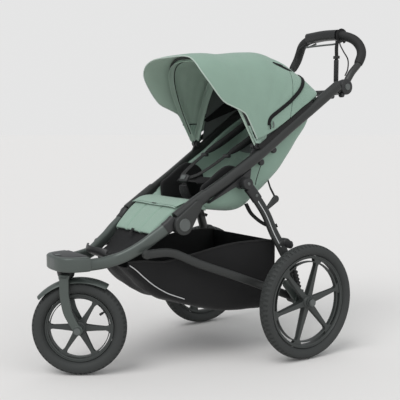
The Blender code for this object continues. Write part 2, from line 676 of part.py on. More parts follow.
def basket():
    """An open sling of cloth between the stays, shut at the back by a panel."""
    rows = []
    for y, top, floor, half in BASKET:
        row = []
        for x, up in ((1, 1), (1, 0.6), (0.97, 0.25), (0.86, 0.04), (0.5, 0), (0, 0)):
            row.append((x * half, y, floor + (top - floor) * up))
        rows.append(row + [(-x, y, z) for x, y, z in reversed(row[:-1])])
    sling = skin(rows, CLOTH, 1.0)
    y, top, floor, half = BASKET[-1]
    wide = BASKET_LAP * half
    corner = 0.86 * wide
    rim_z, bend_z, low_z, floor_z = (top - 0.001, floor + 0.6 * (top - floor), floor + 0.25 * (top - floor),
                                     floor + 0.04 * (top - floor))
    bm = bmesh.new()
    bm.faces.new([bm.verts.new((x, y - 0.0010, z)) for x, z in (
        (wide, rim_z), (wide, bend_z), (0.97 * wide, low_z), (corner, floor_z), (-corner, floor_z),
        (-0.97 * wide, low_z), (-wide, bend_z), (-wide, rim_z))])
    back = holder("back", bm)
    thick = back.modifiers.new("thickness", "SOLIDIFY")
    thick.thickness = CLOTH
    thick.offset = 0.0
    finish("basket", join(sling, back), stay_body, "black fabric")


# ---------------------------------------------------------------- handlebar
HANDLE_ROUTE = [(HANDLE_X, 0.298, 0.957), (0.185, 0.325, 0.995), (0.183, 0.362, 1.030),
                (0.179, 0.382, 1.065), (0.168, 0.386, 1.095), (0.145, 0.379, 1.122),
                (0.105, 0.371, 1.139), (0.050, 0.366, 1.147), (0.0, 0.365, 1.150)]
HEAD_RADIUS, HEAD_HALF = 0.027, 0.013


def handle_curve(points=HANDLE_ROUTE):
    return list(points) + [(-x, y, z) for x, y, z in reversed(points[:-1])]


def handlebar():
    bar = tube(handle_curve(), 2 * HANDLE_TUBE, sides=10)
    for _, side in SIDES:
        join(bar, rod(at(side * (HANDLE_X - HEAD_HALF), HANDLE_PIVOT),
                      at(side * (HANDLE_X + HEAD_HALF), HANDLE_PIVOT),
                      HEAD_RADIUS, sides=24))
    for _, side in SIDES:
        cut(bar, rod(at(side * (HANDLE_X + HEAD_HALF - 0.007), HANDLE_PIVOT),
                     at(side * (HANDLE_X + 0.03), HANDLE_PIVOT),
                     0.0125 + GAP, sides=20))
        cut(bar, rod(at(side * (HANDLE_X - 0.03), HANDLE_PIVOT),
                     at(side * (HANDLE_X - 0.004), HANDLE_PIVOT),
                     0.007 + CLEAR / 2, sides=20))
    finish("handlebar", bar, handle_body, "frame paint")


def handle_grip():
    sleeve = tube(handle_curve(HANDLE_ROUTE[2:]), 2 * (HANDLE_TUBE + GRIP_THICK) / math.cos(math.pi / 10),
                  sides=10)
    hollow = tube(handle_curve(), 2 * (HANDLE_TUBE + GAP) / math.cos(math.pi / 10), sides=10)
    finish("handle_grip", cut(sleeve, hollow), handle_body, "foam")


def tilt_joint(name, side):
    """The fixed cheek on the tube's end that the handlebar tilts on, with its spigot."""
    end = Vector(UPPER_ROUTE[-1])
    inner = HANDLE_X - HEAD_HALF - CLEAR
    cheek = plate(link_outline(HANDLE_PIVOT.yz, (end.y - 0.004, end.z - 0.012), HEAD_RADIUS - 0.001, 0.015),
                  side * (inner - 0.010), side * inner)
    spigot = rod(at(side * (inner - 0.005), HANDLE_PIVOT), at(side * (HANDLE_X - 0.0045), HANDLE_PIVOT),
                 0.007)
    return join(cheek, spigot)


def cross_bar():
    """The tube between the two tilt cheeks, bowed back behind the canopy."""
    reach = HANDLE_X - HEAD_HALF - CLEAR - 0.0095
    route = [(reach, 0.296, 0.940), (reach - 0.03, 0.322, 0.931), (reach - 0.07, 0.340, 0.928),
             (0, 0.344, 0.927)]
    bar = tube(handle_curve(route), 2 * ROUND_TUBE, sides=12)
    for name, side in SIDES:
        join(bar, tilt_joint(name, side))
    for name, side in SIDES:
        cut(bar, tube(mirrored(UPPER_ROUTE, side), TUBE_WIDE + 2 * GAP, TUBE_TALL + 2 * GAP))
    finish("cross_bar", bar, origin, "frame paint")


def tilt_button(name, side):
    start = HANDLE_X + HEAD_HALF - 0.003
    body = empty(f"tilt_button_slide_{name}", at(side * start, HANDLE_PIVOT), handle_body)
    button = rod(at(side * start, HANDLE_PIVOT), at(side * (start + 0.007), HANDLE_PIVOT), 0.0125, 0.0115,
                 sides=24)
    finish(f"tilt_button_{name}", button, body, "grey plastic")


CONSOLE_HALF = 0.085
LEVER_PIVOT = Vector((0, 0.392, 1.130))


def brake_console():
    box = tube([(-CONSOLE_HALF, 0.368, 1.148), (0, 0.366, 1.151), (CONSOLE_HALF, 0.368, 1.148)], 0.050,
               0.040, sides=12)
    hollow = tube(handle_curve(), 2 * (HANDLE_TUBE + GRIP_THICK + GAP) / math.cos(math.pi / 10) ** 2,
                  sides=10)
    slot = block((-0.080, 0.381, 1.100), (0.080, 0.42, 1.139))
    finish("brake_console", cut(box, hollow, slot), handle_body, "black plastic")


def brake_lever():
    """The hand brake: a thin bow under the console, squeezed up toward the bar."""
    body = empty("brake_lever_hinge", LEVER_PIVOT, handle_body)
    route = [(0.076, 0.389, 1.126), (0.072, 0.350, 1.112), (0.055, 0.322, 1.108), (0, 0.314, 1.107)]
    bow = tube(handle_curve(route), 0.007, per_span=2, sides=8)
    for _, side in SIDES:
        join(bow, rod((side * 0.070, LEVER_PIVOT.y, LEVER_PIVOT.z),
                      (side * 0.079, LEVER_PIVOT.y, LEVER_PIVOT.z), 0.006))
    finish("brake_lever", bow, body, "steel")


CABLE_ROUTE = [(0.100, 0.352, 1.124), (0.112, 0.336, 1.108), (0.133, 0.333, 1.080), (0.146, 0.345, 1.048),
               (0.153, 0.338, 1.012), (0.159, 0.3185, 0.987)]
STRAP_X = 0.086
STRAP_ROUTE = [(STRAP_X, y, z) for y, z in ((0.340, 1.136), (0.336, 1.110), (0.338, 1.080), (0.336, 1.050),
                                            (0.334, 1.020), (0.336, 0.995))]


def brake_cable(name, side):
    finish(f"brake_cable_{name}", tube(mirrored(CABLE_ROUTE, side), 0.005, per_span=3, sides=8),
           handle_body,
           "black plastic")


def wrist_strap():
    finish("wrist_strap", tube(STRAP_ROUTE, 0.018, 0.003, per_span=2, sides=8), handle_body, "black fabric")


# ---------------------------------------------------------------- seat
def cushion(name, outline, half, body, finish_name, bevel=0.006):
    finish(name, plate(outline, -half, half), body, finish_name, bevel)


def seat():
    base = plate([(-0.332, 0.556), (-0.272, 0.532), (-0.209, 0.512), (-0.165, 0.518), (-0.118, 0.546),
                  (-0.118, 0.590), (-0.205, 0.566), (-0.326, 0.588)], -SEAT_HALF, SEAT_HALF)
    for _, side in SIDES:
        wing = plate([(-0.285, 0.556), (-0.200, 0.540), (-0.121, 0.560), (-0.121, 0.650), (-0.150, 0.690),
                      (-0.190, 0.676), (-0.285,
                                        0.604)], side * (SEAT_HALF - 0.011), side * (SEAT_HALF - 0.001))
        join(base, wing)
    finish("seat_base", base, origin, "sage fabric")
    cushion("seat_back", [(-0.098, 0.560), (-0.024, 0.617), (0.022, 0.680), (0.106, 0.793), (0.180, 0.905),
                          (0.150, 0.926), (0.070, 0.812), (-0.018, 0.700), (-0.110,
                                                                            0.594)], SEAT_HALF - 0.014,
            seat_back_body, "sage fabric")
    cushion("leg_rest", [(-0.336, 0.560), (-0.360, 0.528), (-0.505, 0.437), (-0.512, 0.448),
                         (-0.425, 0.532),
                         (-0.350, 0.580)], 0.116, origin, "sage fabric", 0.004)


def harness():
    """Two padded shoulder straps that meet over the buckle."""
    straps = tube([(-0.058, -0.222, 0.652), (0, -0.228, 0.664), (0.058, -0.222, 0.652)], 0.020, 0.006,
                  per_span=3, sides=8)
    for _, side in SIDES:
        route = [(side * 0.054, -0.224, 0.653), (side * 0.066, -0.150, 0.700),
                 (side * 0.070, -0.060, 0.752),
                 (side * 0.066, 0.010, 0.800), (side * 0.060, 0.040, 0.826)]
        join(straps, tube(route, 0.040, 0.010, sides=8))
    finish("shoulder_straps", straps, seat_back_body, "black fabric")
    crotch = tube([(0, -0.262, 0.5925), (0, -0.250, 0.612), (0, -0.238, 0.634)], 0.030, 0.004, per_span=2,
                  sides=8)
    clasp = tube([(0, -0.2430, 0.6240), (0, -0.2330, 0.6470)], 0.046, 0.014, per_span=1, sides=10)
    finish("buckle", join(clasp, crotch), origin, "grey plastic")


# ---------------------------------------------------------------- foot rest
def foot_rest():
    """A moulded tray between the lower tubes, with a raised lip at its front."""
    tray = plate([(-0.655, 0.372), (-0.560, 0.364), (-0.535, 0.372), (-0.540, 0.384), (-0.640, 0.392),
                  (-0.652, 0.404), (-0.660, 0.402)], -TRAY_HALF, TRAY_HALF)
    finish("foot_tray", tray, front_body, "black plastic")
    panel = plate([(-0.514, 0.430), (-0.533, 0.400), (-0.536, 0.382), (-0.532, 0.380), (-0.526, 0.399),
                   (-0.507, 0.429)], -0.092, 0.092)
    finish("calf_panel", panel, front_body, "black fabric")


# ---------------------------------------------------------------- canopy
def in_plane(angle, reach):
    """A (y, z) place at an angle above level, counted from the front, seen from the canopy's pivot."""
    turn = math.radians(angle)
    return (CANOPY_PIVOT.y - reach * math.cos(turn), CANOPY_PIVOT.z + reach * math.sin(turn))


def canopy_clamp(name, side):
    """A saddle on the main tube with the stub that both canopy bows turn on."""
    disc = rod(at(side * 0.1725, CANOPY_PIVOT), at(side * 0.1830, CANOPY_PIVOT), 0.013, sides=20)
    foot = plate([(-0.152, 0.688), (-0.098, 0.722), (-0.112, 0.738), (-0.134, 0.724)], side * 0.1735,
                 side * 0.1820)
    stub = rod(at(side * 0.1595, CANOPY_PIVOT), at(side * 0.1965, CANOPY_PIVOT), 0.004)
    clamp = cut(join(disc, foot), tube(mirrored(UPPER_ROUTE, side), TUBE_WIDE + 2 * GAP,
                                       TUBE_TALL + 2 * GAP))
    finish(f"canopy_clamp_{name}", join(clamp, stub), origin, "black plastic")


def bow(name, half, pivot_x, crown, body):
    """A wire arch on two eyes that turn on the clamps' stubs."""
    route = arch(half, (CANOPY_PIVOT.y, CANOPY_PIVOT.z), crown, count=13)
    start = at(pivot_x, CANOPY_PIVOT) + Vector((0, *(Vector(crown) - CANOPY_PIVOT.yz) * 0.02))
    route = [start] + route[1:-1] + [Vector((-start.x, start.y, start.z))]
    wire = tube(route, 2 * BOW, sides=6)
    for _, side in SIDES:
        join(wire, rod(at(side * (pivot_x - 0.0040), CANOPY_PIVOT),
                       at(side * (pivot_x + 0.0040), CANOPY_PIVOT), 0.0095,
                       sides=18))
    for _, side in SIDES:
        cut(wire, rod(at(side * (pivot_x - 0.012), CANOPY_PIVOT),
                      at(side * (pivot_x + 0.012), CANOPY_PIVOT),
                      0.004 + GAP, sides=20))
    finish(name, wire, body, "steel")


FRONT_RIM_FOOT, FRONT_RIM_CROWN = (-0.136, 0.757), (-0.300, 1.046)
ZIP_FOOT, ZIP_CROWN = (0.010, 0.828), (0.044, 1.036)


def canopy():
    bow("canopy_bow_front", 0.193, 0.1885, (-0.284, 1.036), canopy_body)
    bow("canopy_bow_middle", 0.187, 0.1660, (-0.047, 1.050), bow_body)
    half = CANOPY_HALF
    front = [arch(half, FRONT_RIM_FOOT, FRONT_RIM_CROWN), arch(half, (-0.105, 0.766), (-0.210, 1.052)),
             arch(half, (-0.050, 0.792), (-0.050, 1.066)), arch(half, ZIP_FOOT, ZIP_CROWN)]
    finish("canopy_front", skin(front, CLOTH, 1.0), canopy_body, "sage fabric")
    rear = [arch(half, (ZIP_FOOT[0] + SEAM, ZIP_FOOT[1]), (ZIP_CROWN[0] + SEAM, ZIP_CROWN[1])),
            arch(half, (0.062, 0.863), (0.112, 0.990)), arch(half - 0.003, (0.106, 0.889), (0.170, 0.942)),
            arch(half - 0.030, (0.136, 0.902), (0.194, 0.918))]
    finish("canopy_rear", skin(rear, CLOTH, 1.0), origin, "sage fabric")
    rim_line = front[0][1:-1]
    brim = []
    for reach in (0, 0.5, 1):
        row = []
        for place in rim_line:
            high = (place.z - FRONT_RIM_FOOT[1]) / (FRONT_RIM_CROWN[1] - FRONT_RIM_FOOT[1])
            shift = Vector((0, -0.082 + 0.022 * high, 0.012 - 0.020 * high)) * reach
            row.append(place + Vector((0, -SEAM, 0)) + shift)
        brim.append(row)
    finish("visor", skin(brim, CLOTH, 1.0), canopy_body, "sage fabric")


# ---------------------------------------------------------------- assembly
for side_name, sign in SIDES:
    upper_tube(side_name, sign)
    lower_tube(side_name, sign)
    fold_housing(side_name, sign)
    fold_knuckle(side_name, sign)
    hinge_disc(side_name, sign)
    leg_bracket(side_name, sign)
    rear_leg(side_name, sign)
    canopy_clamp(side_name, sign)
    elastomer(side_name, sign)
    stay(side_name, sign)
    tilt_button(side_name, sign)
    brake_cable(side_name, sign)
    arm_body = rear_arm(side_name, sign)
    hub_place = Vector((sign * REAR_TRACK, 0, REAR_RADIUS))
    wheel_body = empty(f"rear_wheel_axle_{side_name}", hub_place, arm_body)
    half_turn = 0.0 if sign > 0 else math.pi
    tyre(f"rear_tyre_{side_name}", REAR_RADIUS, REAR_WIDTH, REAR_RIM, hub_place, half_turn, wheel_body)
    rim(f"rear_rim_{side_name}", REAR_RIM, hub_place, half_turn, sign * REAR_FIRST_SPOKE, wheel_body)
    wheel_release(side_name, sign, wheel_body)

tyre("front_tyre", FRONT_RADIUS, FRONT_WIDTH, FRONT_RIM, front_hub, SWIVEL, front_wheel_body)
rim("front_rim", FRONT_RIM, front_hub, SWIVEL, FRONT_FIRST_SPOKE, front_wheel_body)
nose_block()
swivel_lock()
fork()
front_mudguard()
front_axle()
rear_cross_tube()
basket()
handlebar()
handle_grip()
cross_bar()
brake_console()
brake_lever()
wrist_strap()
seat()
harness()
foot_rest()
canopy()

origin.location.y += AXLE_BEHIND_ORIGIN
for cutter in CUTTERS.objects:
    cutter.location.y += AXLE_BEHIND_ORIGIN
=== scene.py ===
# %% [markdown]
# # A three-wheeled jogging stroller
# The CAD frame gives every tube, hinge and wheel its place and its motion. This lesson dresses it: each
# step says what the piece is on the real stroller, how it could be made in Blender, and why this way was
# chosen. Places are measured from the rear axle, which is where a stroller maker would measure from too.

# %% Load the frame
import math

import bmesh
import bpy
from mathutils import Matrix, Vector, noise


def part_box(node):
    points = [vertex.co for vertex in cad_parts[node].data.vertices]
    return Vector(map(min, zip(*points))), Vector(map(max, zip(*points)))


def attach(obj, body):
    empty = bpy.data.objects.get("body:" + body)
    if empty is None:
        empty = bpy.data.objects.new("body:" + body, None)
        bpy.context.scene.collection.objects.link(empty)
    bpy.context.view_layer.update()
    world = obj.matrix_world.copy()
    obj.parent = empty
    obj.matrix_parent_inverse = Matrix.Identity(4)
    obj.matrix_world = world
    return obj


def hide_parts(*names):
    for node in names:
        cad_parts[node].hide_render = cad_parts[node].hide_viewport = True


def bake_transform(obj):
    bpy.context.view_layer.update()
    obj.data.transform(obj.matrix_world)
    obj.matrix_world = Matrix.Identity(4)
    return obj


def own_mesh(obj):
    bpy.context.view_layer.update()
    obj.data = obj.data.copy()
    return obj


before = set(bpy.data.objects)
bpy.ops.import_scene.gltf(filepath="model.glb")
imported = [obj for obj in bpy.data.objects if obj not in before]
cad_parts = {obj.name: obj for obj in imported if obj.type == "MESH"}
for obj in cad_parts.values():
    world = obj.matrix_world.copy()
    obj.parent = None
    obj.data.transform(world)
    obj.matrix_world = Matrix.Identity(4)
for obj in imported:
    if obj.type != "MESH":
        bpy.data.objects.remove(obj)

noise.seed_set(7)      # vector noise is seeded by the clock otherwise
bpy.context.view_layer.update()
SIDES = (("left", 1), ("right", -1))


def middle(node):
    low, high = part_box(node)
    return (low + high) / 2


AXLE_Y = middle("rear_rim_left").y


def spot(x, y, z):
    """A place from how far it is to the left, behind the rear axle and above the ground."""
    return Vector((x, y + AXLE_Y, z))


print("rear axle at y =", round(AXLE_Y, 4), "nodes:", len(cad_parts))

# %% [markdown]
# ## Studio
# A pale seamless floor with soft light is what a catalogue uses. A huge flat floor and a pale world are
# enough: the world shows its own plain colour to the camera and lights the model with a softer one.

# %% Camera, floor and lights
CAMERA_AZIMUTH, CAMERA_HEIGHT = math.radians(55.18), math.radians(5.473)
CAMERA_PLACE = spot(2.2822, -1.8171, 0.8047)
back = Vector((math.sin(CAMERA_AZIMUTH) * math.cos(CAMERA_HEIGHT),
               -math.cos(CAMERA_AZIMUTH) * math.cos(CAMERA_HEIGHT), math.sin(CAMERA_HEIGHT)))
camera_data = bpy.data.cameras.new("camera")
camera_data.lens = 70.74
camera_data.clip_end = 200
camera = bpy.data.objects.new("camera", camera_data)
camera.location = CAMERA_PLACE
camera.rotation_mode = "QUATERNION"
camera.rotation_quaternion = (-back).to_track_quat("-Z", "Y")
bpy.context.scene.collection.objects.link(camera)
bpy.context.scene.camera = camera

bm = bmesh.new()
bmesh.ops.create_circle(bm, cap_ends=True, segments=64, radius=60)
floor_mesh = bpy.data.meshes.new("floor")
bm.to_mesh(floor_mesh)
bm.free()
floor = bpy.data.objects.new("floor", floor_mesh)
bpy.context.scene.collection.objects.link(floor)


def sun(name, strength, azimuth, elevation, softness):
    """A soft lamp that shines from an azimuth, counted like the camera's, and an elevation."""
    data = bpy.data.lights.new(name, "SUN")
    data.energy = strength
    data.angle = math.radians(softness)
    lamp = bpy.data.objects.new(name, data)
    a, e = math.radians(azimuth), math.radians(elevation)
    towards = Vector((math.sin(a) * math.cos(e), -math.cos(a) * math.cos(e), math.sin(e)))
    lamp.rotation_euler = towards.to_track_quat("Z", "Y").to_euler()
    bpy.context.scene.collection.objects.link(lamp)


sun("key", 1.40, 20, 52, 38)
sun("fill", 0.45, 95, 30, 60)

world = bpy.data.worlds.new("studio")
world.use_nodes = True
bpy.context.scene.world = world
tree = world.node_tree
light = tree.nodes["Background"]
light.inputs["Color"].default_value = (0.93, 0.95, 0.97, 1)
light.inputs["Strength"].default_value = 0.62
seen = tree.nodes.new("ShaderNodeBackground")
seen.inputs["Color"].default_value = (0.787, 0.787, 0.787, 1)
path = tree.nodes.new("ShaderNodeLightPath")
mix = tree.nodes.new("ShaderNodeMixShader")
tree.links.new(path.outputs["Is Camera Ray"], mix.inputs["Fac"])
tree.links.new(light.outputs["Background"], mix.inputs[1])
tree.links.new(seen.outputs["Background"], mix.inputs[2])
tree.links.new(mix.outputs["Shader"], tree.nodes["World Output"].inputs["Surface"])
bpy.context.scene.view_settings.view_transform = "Standard"

# %% [markdown]
# ## Finishes
# Three effects come back on many pieces: the woven threads of polyester cloth, the fine pitted grain of
# moulded plastic and powder coat, and a faint uneven tone. Each is a node group with named inputs, built
# once. The shaders themselves stay in the materials.

# %% Node groups


def new_group(name, numbers, outputs):
    """An empty shader group: colour input, number inputs with defaults, and outputs of the given kinds."""
    group = bpy.data.node_groups.new(name, "ShaderNodeTree")
    colour = group.interface.new_socket("Colour", in_out="INPUT", socket_type="NodeSocketColor")
    colour.default_value = (0.5, 0.5, 0.5, 1)
    for label, value in numbers:
        group.interface.new_socket(label, in_out="INPUT",
                                   socket_type="NodeSocketFloat").default_value = value
    for label, kind in outputs:
        group.interface.new_socket(label, in_out="OUTPUT", socket_type=kind)
    return group, group.nodes.new("NodeGroupInput"), group.nodes.new("NodeGroupOutput")


def link(tree, start, end):
    tree.links.new(start, end)


def math_node(tree, kind, first, second):
    """A Math node; each side is a socket or a number."""
    node = tree.nodes.new("ShaderNodeMath")
    node.operation = kind
    for socket, value in zip(node.inputs, (first, second)):
        if isinstance(value, (int, float)):
            socket.default_value = value
        else:
            tree.links.new(value, socket)
    return node.outputs[0]


def tone(tree, colour, amount, vector, scale):
    """The colour, lighter and darker by a share in soft clouds."""
    clouds = tree.nodes.new("ShaderNodeTexNoise")
    clouds.inputs["Scale"].default_value = scale
    clouds.inputs["Detail"].default_value = 4
    tree.links.new(vector, clouds.inputs["Vector"])
    share = math_node(tree, "MULTIPLY", math_node(tree, "SUBTRACT", clouds.outputs["Fac"], 0.5), amount)
    shade = tree.nodes.new("ShaderNodeVectorMath")
    shade.operation = "SCALE"
    tree.links.new(colour, shade.inputs[0])
    tree.links.new(math_node(tree, "ADD", share, 1.0), shade.inputs["Scale"])
    return shade.outputs["Vector"]


def weave_group():
    """Crossed threads: two sets of fine bands, with a slow tone over them."""
    group, ins, outs = new_group("cloth_weave", (("Threads", 900.0), ("Unevenness", 0.12)),
                                 (("Colour", "NodeSocketColor"), ("Height", "NodeSocketFloat")))
    where = group.nodes.new("ShaderNodeTexCoord").outputs["Object"]
    heights = []
    for direction in ("X", "Z"):
        bands = group.nodes.new("ShaderNodeTexWave")
        bands.bands_direction = direction
        bands.inputs["Distortion"].default_value = 0.6
        link(group, where, bands.inputs["Vector"])
        link(group, ins.outputs["Threads"], bands.inputs["Scale"])
        heights.append(bands.outputs["Fac"])
    height = math_node(group, "MULTIPLY", heights[0], heights[1])
    link(group, height, outs.inputs["Height"])
    link(group, tone(group, ins.outputs["Colour"], ins.outputs["Unevenness"], where, 14.0),
         outs.inputs["Colour"])
    return group


def grain_group():
    """The pitted skin of a moulding or of powder coat."""
    group, ins, outs = new_group("moulded_grain", (("Grains", 900.0), ("Unevenness", 0.15), ("Gloss", 0.5)),
                                 (("Colour", "NodeSocketColor"), ("Height", "NodeSocketFloat"),
                                  ("Roughness", "NodeSocketFloat")))
    where = group.nodes.new("ShaderNodeTexCoord").outputs["Object"]
    pits = group.nodes.new("ShaderNodeTexNoise")
    link(group, where, pits.inputs["Vector"])
    link(group, ins.outputs["Grains"], pits.inputs["Scale"])
    link(group, pits.outputs["Fac"], outs.inputs["Height"])
    link(group, math_node(group, "ADD", ins.outputs["Gloss"],
                          math_node(group, "MULTIPLY", pits.outputs["Fac"],
                                    0.12)), outs.inputs["Roughness"])
    link(group, tone(group, ins.outputs["Colour"], ins.outputs["Unevenness"], where, 9.0),
         outs.inputs["Colour"])
    return group


WEAVE, GRAIN = weave_group(), grain_group()

# %% [markdown]
# ## The paint box
# Each finish is one Principled shader with one of the groups before it. Cloth gets a little sheen, which
# is what lifts the edge of a fabric fold; powder coat is half a metal with a broad soft gloss.

# %% Materials


def finish_of(name, colour, group, values, bump, metallic=0.0, roughness=0.85, sheen=0.0, specular=0.5):
    """A material: a Principled shader fed by one of the two groups."""
    made = bpy.data.materials.new(name)
    made.use_nodes = True
    tree = made.node_tree
    shader = tree.nodes["Principled BSDF"]
    effect = tree.nodes.new("ShaderNodeGroup")
    effect.node_tree = group
    effect.inputs["Colour"].default_value = (*colour, 1)
    for label, value in values.items():
        effect.inputs[label].default_value = value
    link(tree, effect.outputs["Colour"], shader.inputs["Base Color"])
    shader.inputs["Roughness"].default_value = roughness
    if "Roughness" in effect.outputs:
        link(tree, effect.outputs["Roughness"], shader.inputs["Roughness"])
    shader.inputs["Metallic"].default_value = metallic
    shader.inputs["Sheen Weight"].default_value = sheen
    shader.inputs["Sheen Roughness"].default_value = 0.4
    shader.inputs["Specular IOR Level"].default_value = specular
    lift = tree.nodes.new("ShaderNodeBump")
    lift.inputs["Strength"].default_value = 0.5
    lift.inputs["Distance"].default_value = bump
    link(tree, effect.outputs["Height"], lift.inputs["Height"])
    link(tree, lift.outputs["Normal"], shader.inputs["Normal"])
    return made


def cloth(name, colour, threads=900.0, uneven=0.12, sheen=0.25):
    return finish_of(name, colour, WEAVE, {"Threads": threads, "Unevenness": uneven}, 0.0003, sheen=sheen,
                     specular=0.25)


def moulded(name, colour, gloss=0.45, metallic=0.0, grains=900.0):
    return finish_of(name, colour, GRAIN, {"Grains": grains, "Unevenness": 0.15, "Gloss": gloss}, 0.00012,
                     metallic=metallic)


LOOKS = {      # look: (material, the record's slot)
    "sage": (cloth("sage_cloth", (0.262, 0.378, 0.309)), "sage_fabric"),
    "sage pad": (cloth("sage_pad_cloth", (0.285, 0.400, 0.330), 700.0), "sage_fabric"),
    "sage inner": (cloth("sage_inner_cloth", (0.330, 0.450, 0.380)), "sage_fabric"),
    # A lit copy of the canopy cloth, lighter than "sage": painted light on the canopy's inside, standing in
    # for light that comes through the cloth.
    "sage lit": (cloth("sage_lit_cloth", (0.47, 0.60, 0.51)), "sage_fabric"),
    "piping": (cloth("pale_piping", (0.46, 0.55, 0.49)), "sage_fabric"),
    "lining": (cloth("grey_lining", (0.120, 0.132, 0.128), 800.0), "black_fabric"),
    "black cloth": (cloth("black_cloth", (0.0125, 0.0125, 0.013), 800.0, 0.3, 0.12), "black_fabric"),
    "mesh": (cloth("black_mesh", (0.008, 0.008, 0.0085), 500.0, 0.3, 0.05), "black_fabric"),
    "webbing": (cloth("black_webbing", (0.018, 0.018, 0.018), 500.0, 0.2, 0.1), "black_fabric"),
    # Pale tape: real reflective piping on the basket, and a painted highlight where it runs along the rear
    # legs.
    "reflective tape and painted highlight": (moulded("reflective_tape_and_painted_highlight", (0.55, 0.56, 0.56), 0.3), "black_fabric"),
    "frame": (moulded("frame_coat", (0.040, 0.042, 0.041), 0.36, 0.45), "frame_paint"),
    "lower frame": (moulded("lower_frame_coat", (0.088, 0.103, 0.095), 0.36, 0.40), "lower_frame_paint"),
    "wheel": (moulded("wheel_plastic", (0.035, 0.040, 0.038), 0.42), "wheel_plastic"),
    "black plastic": (moulded("black_plastic", (0.017, 0.0175, 0.018), 0.40), "black_plastic"),
    "grey plastic": (moulded("grey_plastic", (0.098, 0.108, 0.104), 0.42), "grey_plastic"),
    "tyre": (moulded("tyre_rubber", (0.031, 0.034, 0.033), 0.66, grains=400.0), "tyre"),
    "rubber": (moulded("black_rubber", (0.015, 0.015, 0.015), 0.6), "rubber"),
    "foam": (moulded("grip_foam", (0.0125, 0.0130, 0.0130), 0.66, grains=1400.0), "foam"),
}
FLOOR_COAT = bpy.data.materials.new("floor_paper")
FLOOR_COAT.use_nodes = True
FLOOR_INPUTS = FLOOR_COAT.node_tree.nodes["Principled BSDF"].inputs
FLOOR_INPUTS["Base Color"].default_value = (0.797, 0.781, 0.766, 1)
FLOOR_INPUTS["Roughness"].default_value = 1.0
FLOOR_INPUTS["Specular IOR Level"].default_value = 0.0
floor.data.materials.append(FLOOR_COAT)
print("finishes:", len(LOOKS))

# %% [markdown]
# ## Helpers
# Nearly everything on a stroller is a bent tube, a moulding with a flat outline, a turned wheel part or a
# sheet of cloth. Each of these has one helper here, built from bmesh operators: a ring that is extruded
# along a route, a face that is extruded and bevelled, a profile that is spun, a grid that is draped.

# %% Pieces


def only_verts(parts):
    return [part for part in parts if isinstance(part, bmesh.types.BMVert)]


def finished(name, bm, look, body=None, stands_for=(), sharp=38, keep_normals=False):
    """Turns a bmesh into a piece: closed faces out, smooth, painted, and riding on its CAD body."""
    if not keep_normals:
        bmesh.ops.recalc_face_normals(bm, faces=bm.faces)
    mesh = bpy.data.meshes.new(name)
    bm.to_mesh(mesh)
    bm.free()
    piece = bpy.data.objects.new(name, mesh)
    bpy.context.scene.collection.objects.link(piece)
    paint(piece, look)
    mesh.shade_smooth()
    mesh.set_sharp_from_angle(angle=math.radians(sharp))
    if body:
        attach(piece, body)
    if stands_for:
        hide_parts(*stands_for)
    return piece


def paint(piece, look):
    coat, slot = LOOKS[look]
    piece.data.materials.clear()
    piece.data.materials.append(coat)


def smooth_route(points, per_span=6):
    """Points along a Catmull-Rom curve through the given ones."""
    points = [Vector(p) for p in points]
    ends = [2 * points[0] - points[1]] + points + [2 * points[-1] - points[-2]]
    route = []
    for a, b, c, d in zip(ends, ends[1:], ends[2:], ends[3:]):
        for step in range(per_span):
            t = step / per_span
            route.append(0.5 * (2 * b + (c - a) * t + (2 * a - 5 * b + 4 * c - d) * t * t
                                + (3 * b - a - 3 * c + d) * t ** 3))
    return route + [points[-1]]


def station(route, index, size, up):
    """The matrix that puts a unit ring across a route at one of its points."""
    along = (route[min(index + 1, len(route) - 1)] - route[max(index - 1, 0)]).normalized()
    side = along.cross(Vector(up)).normalized()
    rise = side.cross(along)
    made = Matrix.Identity(4)
    for column, axis in enumerate((side * size[0] / 2, rise * size[1] / 2, along)):
        for row in range(3):
            made[row][column] = axis[row]
    made.translation = route[index]
    return made


def sweep(bm, route, size, up=(0, 0, 1), sides=20, square=2.0):
    """A capped tube along a route. size is (wide, tall), or gives it from the share of the way; up may be
    one direction or one for each point. square over 2 flattens the ring's sides."""
    ups = up if isinstance(up, list) else [up] * len(route)
    sizes = [size(i / (len(route) - 1)) if callable(size) else size for i in range(len(route))]
    ring = bmesh.ops.create_circle(bm, cap_ends=True, segments=sides, radius=1)["verts"]
    for vert in ring:
        for axis in (0, 1):
            vert.co[axis] = math.copysign(abs(vert.co[axis]) ** (2 / square), vert.co[axis])
    edges = list({edge for vert in ring for edge in vert.link_edges})
    place = station(route, 0, sizes[0], ups[0])
    bmesh.ops.transform(bm, matrix=place, verts=ring)
    for index in range(1, len(route)):
        grown = bmesh.ops.extrude_edge_only(bm, edges=edges)["geom"]
        verts = [g for g in grown if isinstance(g, bmesh.types.BMVert)]
        edges = [g for g in grown if isinstance(g, bmesh.types.BMEdge)]
        following = station(route, index, sizes[index], ups[index])
        bmesh.ops.transform(bm, matrix=following @ place.inverted(), verts=verts)
        place = following
    bmesh.ops.contextual_create(bm, geom=edges)
    return verts


def rounded(bm, edges, width, segments=3):
    bmesh.ops.bevel(bm, geom=edges, offset=width, offset_type="OFFSET", segments=segments, profile=0.5,
                    affect="EDGES", clamp_overlap=True, material=-1)


def plate(bm, outline, x_from, x_to, edge=0.0, segments=3):
    """A flat moulding: a closed (y, z) outline between two x places, with rounded rims."""
    before = set(bm.edges)
    face = bm.faces.new([bm.verts.new(spot(x_from, y, z)) for y, z in outline])
    grown = bmesh.ops.extrude_face_region(bm, geom=[face])["geom"]
    bmesh.ops.translate(bm, vec=(x_to - x_from, 0, 0), verts=only_verts(grown))
    if edge:
        rims = [e for e in bm.edges if e not in before and abs(e.verts[0].co.x - e.verts[1].co.x) < 1e-6]
        rounded(bm, rims, edge, segments)


